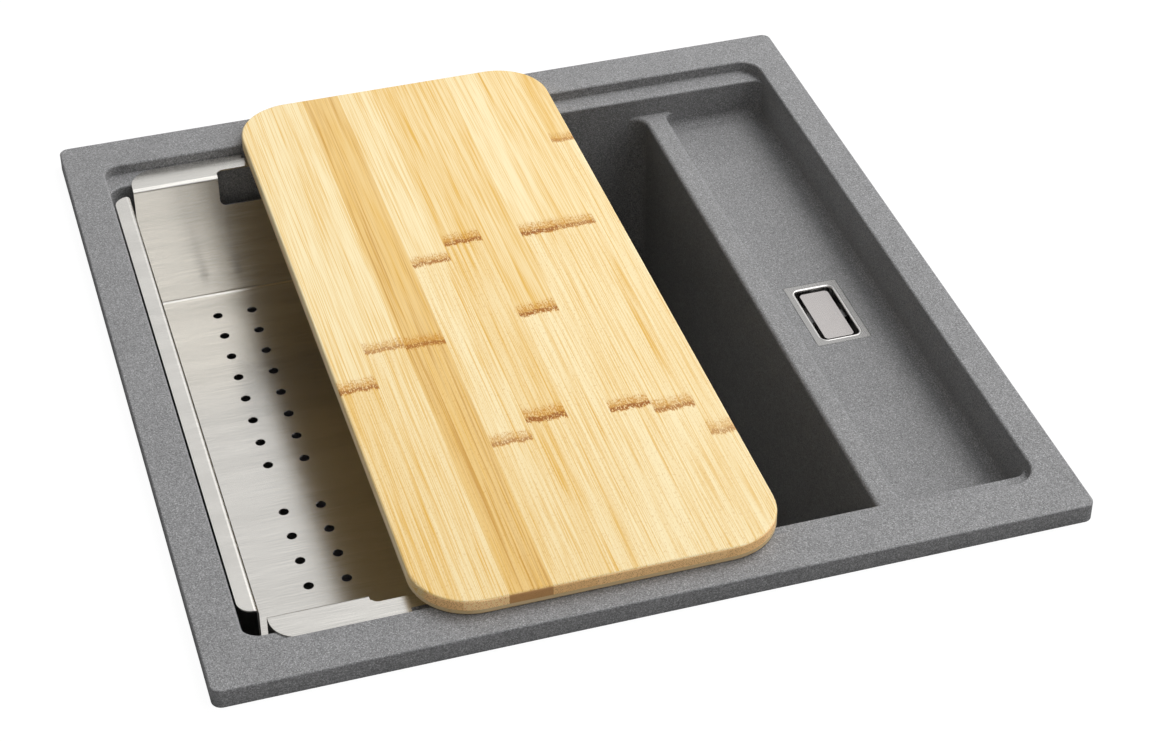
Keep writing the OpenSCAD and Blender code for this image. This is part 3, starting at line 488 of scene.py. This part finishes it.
def fitting_finish(name, colour):
    """Satin steel of the small fittings."""
    made, wire, shader = material(name, 0.28, metallic=1.0)
    place = wire.place()
    x, y, _ = wire.split(place)
    lines = wire.use("brush_lines", Across=x, Along=y, Density=3800.0)
    wear = wire.use("scuffs", Place=place, Scale=120.0)
    level = wire.ramp(lines["Lines"], 0.3, 0.7, 0.97, 1.03)
    wire.put(shader["Base Color"], wire.shade(colour[:3], level))
    brushed = wire.ramp(lines["Lines"], 0.3, 0.7, 0.22, 0.32)
    wire.put(shader["Roughness"], wire.math("ADD", brushed, wire.math("MULTIPLY", wear["Mask"], 0.08)))
    bump(wire, shader, lines["Lines"], 0.00004, 0.25)
    return made


def turned_finish(settings):
    """Satin steel turned about the drain: the lines run round."""
    made, wire, shader = material("turned_steel", 0.28, metallic=1.0)
    x, y, z = wire.split(wire.place())
    away = wire.vector("SUBTRACT", wire.combine(x, y, 0.0), (*DRAIN, 0.0))
    reach = wire.add("ShaderNodeVectorMath", {0: away}, operation="LENGTH").outputs["Value"]
    lines = wire.use("brush_lines", Across=wire.math("ADD", reach, z), Along=0.0, Density=3600.0)
    level = wire.ramp(lines["Lines"], 0.3, 0.7, 0.9, 1.1)
    wire.put(shader["Base Color"], wire.shade(settings.fittings[:3], level))
    wire.put(shader["Roughness"], wire.ramp(lines["Lines"], 0.3, 0.7, 0.2, 0.34))
    bump(wire, shader, lines["Lines"], 0.00004, 0.3)
    return made


def plated_finish(settings):
    """Zinc plating, clouded and lightly scratched."""
    made, wire, shader = material("zinc_plate", 0.38, metallic=1.0)
    place = wire.place()
    wear = wire.use("scuffs", Place=place, Scale=180.0)
    wire.put(shader["Base Color"], wire.mix(wear["Mask"], settings.plated, (0.36, 0.37, 0.39, 1)))
    wire.put(shader["Roughness"], wire.blend(wear["Mask"], 0.32, 0.5))
    bump(wire, shader, wear["Fine"], 0.00005, 0.3)
    return made


def moulded_finish(name, colour, roughness):
    """Moulded plastic: an even colour, a fine spark-eroded skin and handling marks."""
    made, wire, shader = material(name, roughness, specular=0.45)
    place = wire.place()
    wear = wire.use("scuffs", Place=place, Scale=70.0)
    dull = tuple(c * 0.86 for c in colour[:3]) + (1.0,)
    wire.put(shader["Base Color"], wire.mix(wear["Mask"], colour, dull))
    wire.put(shader["Roughness"], wire.ramp(wear["Mask"], 0.0, 1.0, roughness, roughness + 0.12))
    bump(wire, shader, wire.noise(place, 2200.0, 2.0), 0.00004, 0.4)
    return made


def rubber_finish():
    """Dark rubber with a dusty bloom."""
    made, wire, shader = material("seal_rubber", 0.75, specular=0.3)
    place = wire.place()
    wear = wire.use("scuffs", Place=place, Scale=90.0)
    bloom = wire.mix(wear["Mask"], (0.012, 0.012, 0.013, 1), (0.04, 0.04, 0.041, 1))
    wire.put(shader["Base Color"], bloom)
    wire.put(shader["Roughness"], wire.blend(wear["Mask"], 0.65, 0.85))
    bump(wire, shader, wire.noise(place, 1500.0, 3.0), 0.0001, 0.5)
    return made


def board_face_finish(settings):
    """The board's thick layer: strips lengthwise with the joints of the canes."""
    made, wire, shader = material("bamboo_face", 0.5, specular=0.3)
    place = wire.place()
    x, y, z = wire.split(place)
    _, ny, nz = wire.facing()
    spot = wire.combine(x, wire.math("MULTIPLY", y, 0.42))
    dots = wire.add("ShaderNodeTexVoronoi", {"Vector": spot, "Scale": 1150.0}).outputs["Distance"]
    ticks = wire.math("MULTIPLY", wire.ramp(wire.noise(spot, 1100.0, 2.0, 0.6), 0.38, 0.62), 0.6)
    ticks = wire.math("ADD", ticks, wire.ramp(dots, 0.2, 0.55, 0.0, 0.4))
    wave = wire.noise(wire.combine(x, wire.math("MULTIPLY", y, 0.2)), 150.0, 1.0)
    wave = wire.ramp(wave, 0.3, 0.7, -0.8 * MM, 0.8 * MM)
    dashes = fringe = below = 0.0
    for centre, edge, weight, reach in BAMBOO_JOINTS:
        half = EDGE_STRIPS.get(centre, STRIP_HALF)
        mark = wire.use("bamboo_joint", Across=x, Along=y, Ticks=ticks, Wave=wave, Middle=centre * MM,
                        Edge=edge * MM, Half=half * MM, Reach=reach * 1.6 * MM, Weight=weight)
        dashes = wire.math("MAXIMUM", mark["Dashes"], dashes)
        fringe = wire.math("MAXIMUM", mark["Fringe"], fringe)
        below = wire.math("ADD", mark["Below"], below)
    wood = wire.use("bamboo_fibre", Across=x, Along=y, Depth=z, Strip=settings.strip, Segment=below,
                    Start=FIRST_STRIP, Pale=settings.pale, Honey=settings.honey)
    off = wire.math("ABSOLUTE", wire.math("SUBTRACT", x, DARK_STRIP))
    middle = wire.ramp(off, 12.3 * MM, 12.6 * MM, 1.0, 0.0)
    colour = wire.mix(wire.math("MULTIPLY", middle, 0.5), wood["Color"], settings.honey)
    streaks = wire.math("MULTIPLY", middle, wire.ramp(wood["Tone"], 0.45, 0.7, 0.0, 0.35))
    colour = wire.mix(streaks, colour, settings.joint)
    top = wire.math("GREATER_THAN", nz, 0.5)
    fringe = wire.math("MULTIPLY", fringe, top)
    dashes = wire.math("MULTIPLY", dashes, top)
    brown = wire.mix(0.3, settings.fringe, settings.joint)
    colour = wire.mix(wire.math("MULTIPLY", fringe, 0.8), colour, brown)
    colour = wire.mix(wire.math("MULTIPLY", dashes, 0.9), colour, settings.joint)
    pores = wire.add("ShaderNodeTexVoronoi", {"Vector": wire.combine(x, 0.0, z), "Scale": 1500.0}).outputs
    pore = wire.ramp(pores["Distance"], 0.15, 0.45, 0.0, 1.0)
    step = wire.math("FLOOR", wire.math("DIVIDE", wire.math("SUBTRACT", x, FIRST_STRIP), settings.strip))
    seed = {"W": wire.math("ADD", step, 5.0)}
    chance = wire.add("ShaderNodeTexWhiteNoise", seed, noise_dimensions="1D").outputs["Value"]
    block = wire.mix(chance, tint(205, 172, 124, 0.55), tint(190, 152, 102, 0.55))
    block = wire.mix(middle, block, tint(150, 112, 70, 0.55))
    grain_end = wire.mix(pore, tint(140, 102, 62, 0.55), block)
    ends = wire.ramp(ny, 0.45, 0.6)
    ends = wire.math("MULTIPLY", ends, wire.math("LESS_THAN", nz, 0.6))
    wire.put(shader["Base Color"], wire.mix(ends, colour, grain_end))
    wire.put(shader["Roughness"], wire.ramp(wood["Height"], -0.6, 0.0, 0.5, 0.4))
    bump(wire, shader, wire.math("SUBTRACT", wood["Height"], dashes), 0.00012, 0.35)
    return made


def board_base_finish(settings):
    """The board's thin layer, glued with its strips across."""
    made, wire, shader = material("bamboo_base", 0.5, specular=0.35)
    x, y, z = wire.split(wire.place())
    nz = wire.facing()[2]
    wood = wire.use("bamboo_fibre", Across=y, Along=x, Depth=z, Strip=settings.strip, Segment=0.0,
                    Start=11 * MM, Pale=settings.pale, Honey=settings.honey)
    edge = wire.mix(0.6, wood["Color"], tint(160, 138, 108, 0.55))
    lower = wire.math("LESS_THAN", nz, 0.6)
    wire.put(shader["Base Color"], wire.mix(lower, wood["Color"], edge))
    bump(wire, shader, wood["Height"], 0.0001, 0.3)
    return made


# ---- carrying the solids over ----


def even_shading():
    """A modifier tree that welds a solid's triangles and rounds its shading over flat angles."""
    name = "even_shading"
    if name in bpy.data.node_groups:
        return bpy.data.node_groups[name]
    tree = bpy.data.node_groups.new(name, "GeometryNodeTree")
    tree.interface.new_socket("Geometry", in_out="INPUT", socket_type="NodeSocketGeometry")
    tree.interface.new_socket("Sharp Angle", in_out="INPUT", socket_type="NodeSocketFloat")
    tree.interface.new_socket("Geometry", in_out="OUTPUT", socket_type="NodeSocketGeometry")
    wire = Wiring(tree)
    given = wire.add("NodeGroupInput").outputs
    weld = wire.add("GeometryNodeMergeByDistance", {"Geometry": given["Geometry"], "Distance": 2e-6})
    round_all = wire.add("GeometryNodeSetShadeSmooth",
                         {"Geometry": weld.outputs[0], "Shade Smooth": True}, domain="FACE")
    angle = wire.add("GeometryNodeInputMeshEdgeAngle").outputs["Unsigned Angle"]
    sharp = wire.add("FunctionNodeCompare", {0: angle, 1: given["Sharp Angle"]}, operation="GREATER_THAN")
    creased = wire.add("GeometryNodeSetShadeSmooth",
                       {"Geometry": round_all.outputs[0], "Selection": sharp.outputs[0],
                        "Shade Smooth": False}, domain="EDGE")
    wire.put(wire.add("NodeGroupOutput").inputs[0], creased.outputs[0])
    return tree


def set_input(modifier, label, value):
    """Sets a Geometry Nodes modifier's input by its socket's identifier."""
    for item in modifier.node_group.interface.items_tree:
        if item.item_type == "SOCKET" and item.in_out == "INPUT" and item.name == label:
            modifier[item.identifier] = value
            return
    raise RuntimeError("no input called " + label)


def finish_node(node, surface, angle=30.0):
    """Gives a solid of the frame its surface and even shading."""
    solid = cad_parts[node]
    solid.data.materials.clear()
    solid.data.materials.append(surface)
    modifier = solid.modifiers.new("even_shading", "NODES")
    modifier.node_group = even_shading()
    set_input(modifier, "Sharp Angle", radians(angle))
    even_flats(solid)
    return solid


def even_flats(piece):
    """Lets wide faces set the shading where they meet narrow ones, so that flat stays flat."""
    weighted = piece.modifiers.new("even_flats", "WEIGHTED_NORMAL")
    weighted.mode = "FACE_AREA"
    weighted.weight = 90
    weighted.keep_sharp = True


def plain_object(name, mesh):
    made = bpy.data.objects.new(name, mesh)
    bpy.context.scene.collection.objects.link(made)
    return made


def fixed_mesh(source, name):
    """The object's evaluated shape as a plain mesh object of its own."""
    bpy.context.view_layer.update()
    graph = bpy.context.evaluated_depsgraph_get()
    mesh = bpy.data.meshes.new_from_object(source.evaluated_get(graph))
    mesh.name = name
    made = plain_object(name, mesh)
    bpy.data.objects.remove(source)
    return made


def welded_copy(node):
    """A copy of a solid's mesh with its triangles welded, as a bmesh."""
    shape = bmesh.new()
    shape.from_mesh(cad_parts[node].data)
    bmesh.ops.remove_doubles(shape, verts=shape.verts, dist=2e-6)
    return shape


def settle(shape, name, surface, body, angle=30.0, bevel=0.0):
    """Makes a piece of a bmesh: finish, shading, rounding and body."""
    mesh = bpy.data.meshes.new(name)
    for face in shape.faces:
        face.smooth = True
    for edge in shape.edges:
        if len(edge.link_faces) == 2 and edge.calc_face_angle(0.0) > radians(angle):
            edge.smooth = False
    shape.to_mesh(mesh)
    shape.free()
    mesh.materials.append(surface)
    piece = plain_object(name, mesh)
    if bevel:
        rounding = piece.modifiers.new("rounding", "BEVEL")
        rounding.width = bevel
        rounding.segments = 3
        rounding.limit_method = "ANGLE"
        rounding.angle_limit = radians(40)
        rounding.harden_normals = True
        piece = fixed_mesh(piece, name)
    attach(piece, body)
    return piece


def thread_tree():
    """Geometry Nodes: a screw thread as a ridge that winds up an upright shank."""
    name = "screw_thread"
    if name in bpy.data.node_groups:
        return bpy.data.node_groups[name]
    tree = bpy.data.node_groups.new(name, "GeometryNodeTree")
    for label, kind in [("Radius", "Float"), ("Depth", "Float"), ("Turns", "Float"), ("Length", "Float"),
                        ("Steps", "Int"), ("Foot", "Vector"), ("Surface", "Material")]:
        tree.interface.new_socket(label, in_out="INPUT", socket_type="NodeSocket" + kind)
    tree.interface.new_socket("Geometry", in_out="OUTPUT", socket_type="NodeSocketGeometry")
    wire = Wiring(tree)
    given = wire.add("NodeGroupInput").outputs
    middle = wire.math("SUBTRACT", given["Radius"], given["Depth"])
    winding = wire.add("GeometryNodeCurveSpiral", {
        "Resolution": given["Steps"], "Rotations": given["Turns"], "Start Radius": middle,
        "End Radius": middle, "Height": given["Length"]})
    section = wire.add("GeometryNodeCurvePrimitiveCircle", {"Resolution": 6, "Radius": given["Depth"]})
    ridge = wire.add("GeometryNodeCurveToMesh", {
        "Curve": winding.outputs[0], "Profile Curve": section.outputs[0], "Fill Caps": True})
    placed = wire.add("GeometryNodeTransform",
                      {"Geometry": ridge.outputs[0], "Translation": given["Foot"]})
    even = wire.add("GeometryNodeSetShadeSmooth", {"Geometry": placed.outputs[0], "Shade Smooth": True})
    real = wire.add("GeometryNodeRealizeInstances", {"Geometry": even.outputs[0]})
    coated = wire.add("GeometryNodeSetMaterial",
                      {"Geometry": real.outputs[0], "Material": given["Surface"]})
    wire.put(wire.add("NodeGroupOutput").inputs[0], coated.outputs[0])
    return tree


def thread(name, radius, depth, pitch, low, high, at, surface, body, steps=24):
    """A thread piece from height low to high round the upright axis at."""
    carrier = plain_object(name + "_carrier", bpy.data.meshes.new(name))
    modifier = carrier.modifiers.new("thread", "NODES")
    modifier.node_group = thread_tree()
    for label, value in [("Radius", radius), ("Depth", depth), ("Turns", (high - low) / pitch),
                         ("Length", high - low), ("Steps", steps), ("Foot", (at[0], at[1], low)),
                         ("Surface", surface)]:
        set_input(modifier, label, value)
    piece = fixed_mesh(carrier, name)
    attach(piece, body)
    return piece


# ---- operators ----


class SINK_OT_casting(bpy.types.Operator):
    """Finish the casting in speckled composite"""

    bl_idname = "sink.casting"
    bl_label = "Casting"

    def execute(self, context):
        finish_node("sink_body", granite_finish(context.scene.sink_granite), 32)
        return {"FINISHED"}


class SINK_OT_clamps(bpy.types.Operator):
    """Finish the rim's seal and the clamps under it"""

    bl_idname = "sink.clamps"
    bl_label = "Seal and clamps"

    def execute(self, context):
        scene = context.scene
        plated = plated_finish(scene.sink_steel)
        finish_node("rim_seal", rubber_finish())
        white = moulded_finish("insert_moulding", scene.sink_plumbing.white[:], 0.45)
        finish_node("clamp_inserts", white)
        shape = welded_copy("clamp_screws")
        places = []
        for node in CLAWS:
            low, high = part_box(node)
            side = -1 if low[1] < 0 else 1
            places.append((round((low[0] + high[0]) / 2, 4), side * CLAMP_ROW))
        for vertex in shape.verts:
            for x, y in places:
                away = Vector((vertex.co.x - x, vertex.co.y - y))
                if SCREW_CORE < away.length < SCREW_R + 0.2 * MM and vertex.co.z > SCREW_HEAD:
                    away *= SCREW_CORE / away.length
                    vertex.co.x, vertex.co.y = x + away.x, y + away.y
        screws = settle(shape, "clamp_screw_bolts", plated, SINK)
        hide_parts("clamp_screws")
        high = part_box("clamp_screws")[1]
        for index, (x, y) in enumerate(places):
            thread("clamp_thread_%d" % (index + 1), SCREW_R, 0.35 * MM, scene.sink_plumbing.screw_pitch,
                   SCREW_FOOT, high[2] - 1 * MM, (x, y), plated, SINK, 14)
        for node in CLAWS:
            body = "claw_" + node[-1]
            claw = settle(welded_copy(node), "pressed_claw_" + node[-1], plated, body,
                          bevel=0.35 * MM)
            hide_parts(node)
        return {"FINISHED"}


class SINK_OT_waste(bpy.types.Operator):
    """Finish the strainer waste below the drain hole"""

    bl_idname = "sink.waste"
    bl_label = "Waste"

    def execute(self, context):
        scene = context.scene
        steel = turned_finish(scene.sink_steel)
        white = moulded_finish("waste_moulding", scene.sink_plumbing.white[:], 0.4)
        rubber = rubber_finish()
        finish_node("waste_flange", steel)
        finish_node("waste_screw", plated_finish(scene.sink_steel))
        for node in ("waste_top_gasket", "waste_low_gasket"):
            finish_node(node, rubber)
        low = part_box("waste_body")[0]
        shape = welded_copy("waste_body")
        axis = Vector(DRAIN)
        for vertex in shape.verts:
            away = vertex.co.xy - axis
            if away.length > OUTLET_R - 0.4 * MM and vertex.co.z < low[2] + OUTLET_RISE:
                away *= OUTLET_CORE / away.length
                vertex.co.x, vertex.co.y = axis.x + away.x, axis.y + away.y
        body = settle(shape, "waste_moulded_body", white, SINK)
        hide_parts("waste_body")
        thread("outlet_thread", OUTLET_R, 0.75 * MM, scene.sink_plumbing.outlet_pitch, low[2] + 2 * MM,
               low[2] + 26 * MM, axis, white, SINK, 40)
        for node in ("basket_cup", "basket_knob"):
            finish_node(node, steel)
        finish_node("basket_plug", rubber)
        return {"FINISHED"}


class SINK_OT_overflow(bpy.types.Operator):
    """Finish the overflow in the tray and its housing and pipe below"""

    bl_idname = "sink.overflow"
    bl_label = "Overflow"

    def execute(self, context):
        scene = context.scene
        steel = scene.sink_steel
        white = moulded_finish("overflow_moulding", scene.sink_plumbing.white[:], 0.42)
        dark = moulded_finish("nut_moulding", scene.sink_plumbing.dark[:], 0.5)
        rubber = rubber_finish()
        finish_node("overflow_clip", fitting_finish("spring_steel", steel.spring))
        surround = fitting_finish("surround_steel", steel.surround)
        surround = settle(welded_copy("overflow_frame"), "overflow_surround", surround, SINK,
                          bevel=0.45 * MM)
        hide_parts("overflow_frame")
        plate = fitting_finish("plate_steel", steel.fittings)
        cover = settle(welded_copy("overflow_cover"), "overflow_plate", plate, COVER,
                       bevel=0.5 * MM)
        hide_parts("overflow_cover")
        # The bead's steel is much lighter than the frame's: a painted highlight on the rolled edge.
        self.lip(fitting_finish("lip_steel_painted_highlight", steel.lip))
        finish_node("overflow_screws", plated_finish(steel))
        for node in ("overflow_frame_gasket", "overflow_housing_gasket", "pipe_washer_upper",
                     "pipe_washer_lower"):
            finish_node(node, rubber)
        for node in ("overflow_housing", "overflow_pipe"):
            finish_node(node, white)
        for node in ("pipe_nut_upper", "pipe_nut_lower"):
            finish_node(node, dark)
        return {"FINISHED"}

    @staticmethod
    def lip(surface, border=4 * MM, corner=5 * MM, bead=1.15 * MM, steps=8, sides=12):
        """The rolled edge of the frame's dish: a bead that runs round its mouth."""
        low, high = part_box("overflow_frame")
        middle_x, middle_y = (low[0] + high[0]) / 2, (low[1] + high[1]) / 2
        half_x, half_y = (high[0] - low[0]) / 2 - border, (high[1] - low[1]) / 2 - border
        shape = bmesh.new()
        rings = []
        for quarter in range(4):
            side_x = 1 if quarter in (0, 3) else -1
            side_y = 1 if quarter < 2 else -1
            for step in range(steps + 1):
                turn = pi / 2 * (quarter + step / steps)
                ring = []
                for spoke in range(sides):
                    lean = 2 * pi * spoke / sides
                    reach = corner + bead * cos(lean)
                    ring.append(shape.verts.new((
                        middle_x + side_x * (half_x - corner) + reach * cos(turn),
                        middle_y + side_y * (half_y - corner) + reach * sin(turn),
                        high[2] - 1.0 * MM + bead * sin(lean))))
                rings.append(ring)
        for index, ring in enumerate(rings):
            after = rings[(index + 1) % len(rings)]
            for spoke in range(sides):
                beside = (spoke + 1) % sides
                shape.faces.new([ring[spoke], after[spoke], after[beside], ring[beside]])
        bmesh.ops.recalc_face_normals(shape, faces=shape.faces)
        settle(shape, "overflow_lip", surface, SINK, angle=60.0)


class SINK_OT_colander(bpy.types.Operator):
    """Finish the colander in brushed sheet steel"""

    bl_idname = "sink.colander"
    bl_label = "Colander"

    def execute(self, context):
        finish_node("colander", sheet_finish(context.scene.sink_steel), 35)
        return {"FINISHED"}


class SINK_OT_board(bpy.types.Operator):
    """Finish the cutting board in bamboo"""

    bl_idname = "sink.board"
    bl_label = "Board"

    def execute(self, context):
        finish_node("board_face", board_face_finish(context.scene.sink_bamboo), 32)
        finish_node("board_base", board_base_finish(context.scene.sink_bamboo), 32)
        return {"FINISHED"}


class SINK_OT_stage(bpy.types.Operator):
    """Set up the ground, the lights and the camera"""

    bl_idname = "sink.stage"
    bl_label = "Stage"

    def execute(self, context):
        scene = context.scene
        settings = scene.sink_studio
        scene.view_settings.view_transform = "Standard"
        ground, wire, shader = material("studio_ground", 0.9, specular=0.1)
        bright = wire.add("ShaderNodeLightPath").outputs["Is Camera Ray"]
        wire.put(shader["Base Color"], wire.mix(bright, (0.32, 0.32, 0.32, 1), (0.08, 0.08, 0.08, 1)))
        wire.put(shader["Emission Color"], wire.mix(bright, (0, 0, 0, 1), (0.95, 0.95, 0.95, 1)))
        shader["Emission Strength"].default_value = 1.0
        floor = bmesh.new()
        bmesh.ops.create_grid(floor, x_segments=2, y_segments=2, size=6)
        bmesh.ops.translate(floor, verts=floor.verts, vec=(0, 0, CAD_BOX[0][2]))
        self.place(floor, "studio_floor", ground)
        self.place(self.sheet(settings.margin), "studio_sheet", ground)

        world = bpy.data.worlds.new("studio_air")
        world.use_nodes = True
        scene.world = world
        wire = Wiring(world.node_tree)
        way = wire.add("ShaderNodeTexCoord").outputs["Generated"]
        towards = wire.add("ShaderNodeVectorMath", {0: way, 1: (0.66, 0.0, 0.75)},
                           operation="DOT_PRODUCT")
        # The sky is bright where it leans to the right, with a panel behind and a faint one in front.
        overhead = wire.ramp(towards.outputs["Value"], 0.58, 0.96, 0.0, 1.9)
        _, y, z = wire.split(way)
        panels = wire.ramp(y, 0.45, 0.75, 0.0, 0.5)
        panels = wire.math("ADD", panels, wire.ramp(y, -0.45, -0.75, 0.0, 0.06))
        sky = wire.math("ADD", overhead, wire.math("MULTIPLY", panels, wire.ramp(z, 0.15, 0.45)))
        sky = wire.math("ADD", sky, wire.ramp(z, 0.62, 0.88, 0.29, 0.08))
        back = world.node_tree.nodes["Background"]
        wire.put(back.inputs["Color"], wire.combine(sky, sky, sky))
        back.inputs["Strength"].default_value = 1.0

        above = self.softbox("overhead", (0.68, 0.38, 1.36), (0.0, 0.0, 0.0), 0.8, settings.light)
        above.visible_glossy = False
        front = self.softbox("front", (0.25, -1.3, 1.35), (0.0, 0.0, 0.0), 1.5, 5.7)
        front.visible_diffuse = False
        self.softbox("under_left", (-1.6, -1.2, -0.15), (0.0, 0.0, -0.12), 0.5, 6)
        self.softbox("under_right", (1.6, 1.2, -0.15), (0.0, 0.0, -0.12), 0.5, 6)

        lens = bpy.data.cameras.new("photo_camera")
        lens.lens = PHOTO_LENS
        lens.sensor_width = PHOTO_SENSOR
        lens.clip_start, lens.clip_end = 0.01, 50
        camera = bpy.data.objects.new("photo_camera", lens)
        scene.collection.objects.link(camera)
        yaw, pitch = radians(PHOTO_YAW), radians(PHOTO_PITCH)
        forward = Vector((sin(yaw) * cos(pitch), cos(yaw) * cos(pitch), -sin(pitch)))
        camera.location = PHOTO_EYE
        camera.rotation_mode = "QUATERNION"
        turn = Quaternion((0, 0, 1), radians(PHOTO_ROLL))
        camera.rotation_quaternion = forward.to_track_quat("-Z", "Y") @ turn
        scene.camera = camera
        return {"FINISHED"}

    @staticmethod
    def place(shape, name, surface):
        mesh = bpy.data.meshes.new(name)
        shape.to_mesh(mesh)
        shape.free()
        mesh.materials.append(surface)
        plain_object(name, mesh)

    @staticmethod
    def sheet(margin):
        """A thin worktop with the cut-out that the sink hangs in."""
        shape = bmesh.new()
        rings = []
        for z in (0.0, -SHEET_THICK):
            for grow in (margin, 0.0):
                x, y = CUTOUT[0] + grow, CUTOUT[1] + grow
                corners = ((-x, -y), (x, -y), (x, y), (-x, y))
                rings.append([shape.verts.new((px, py, z)) for px, py in corners])
        for i in range(4):
            j = (i + 1) % 4
            shape.faces.new([rings[0][i], rings[0][j], rings[1][j], rings[1][i]])
            shape.faces.new([rings[2][j], rings[2][i], rings[3][i], rings[3][j]])
            shape.faces.new([rings[0][j], rings[0][i], rings[2][i], rings[2][j]])
            shape.faces.new([rings[1][i], rings[1][j], rings[3][j], rings[3][i]])
        return shape

    @staticmethod
    def softbox(name, at, target, size, power):
        light = bpy.data.lights.new(name, "AREA")
        light.shape = "SQUARE"
        light.size = size
        light.energy = power
        lamp = bpy.data.objects.new(name, light)
        bpy.context.scene.collection.objects.link(lamp)
        lamp.location = at
        lamp.rotation_mode = "QUATERNION"
        lamp.rotation_quaternion = (Vector(target) - Vector(at)).to_track_quat("-Z", "Y")
        return lamp


class SINK_PT_parts(bpy.types.Panel):
    """Lists the sink's parts and their settings"""

    bl_idname = "SINK_PT_parts"
    bl_label = "Kitchen sink"
    bl_space_type = "VIEW_3D"
    bl_region_type = "UI"
    bl_category = "Sink"

    def draw(self, context):
        for operator in OPERATORS:
            self.layout.operator(operator.bl_idname)
        for attribute, group in SETTINGS.items():
            box = self.layout.box()
            for label in group.__annotations__:
                box.prop(getattr(context.scene, attribute), label)


OPERATORS = (SINK_OT_stage, SINK_OT_casting, SINK_OT_clamps, SINK_OT_waste, SINK_OT_overflow,
             SINK_OT_colander, SINK_OT_board)
SETTINGS = {"sink_granite": SINK_PG_granite, "sink_bamboo": SINK_PG_bamboo, "sink_steel": SINK_PG_steel,
            "sink_plumbing": SINK_PG_plumbing, "sink_studio": SINK_PG_studio}


def register():
    for group in (*SETTINGS.values(), *OPERATORS, SINK_PT_parts):
        bpy.utils.register_class(group)
    for attribute, group in SETTINGS.items():
        setattr(bpy.types.Scene, attribute, PointerProperty(type=group))


def unregister():
    for attribute in SETTINGS:
        delattr(bpy.types.Scene, attribute)
    for group in (SINK_PT_parts, *reversed(OPERATORS), *SETTINGS.values()):
        bpy.utils.unregister_class(group)


def main():
    register()
    for make in (make_grain_group, make_brush_group, make_fibre_group, make_joint_group, make_wear_group):
        make()
    bpy.ops.sink.stage()
    bpy.ops.sink.casting()
    bpy.ops.sink.clamps()
    bpy.ops.sink.waste()
    bpy.ops.sink.overflow()
    bpy.ops.sink.colander()
    bpy.ops.sink.board()


if __name__ == "__main__":
    main()
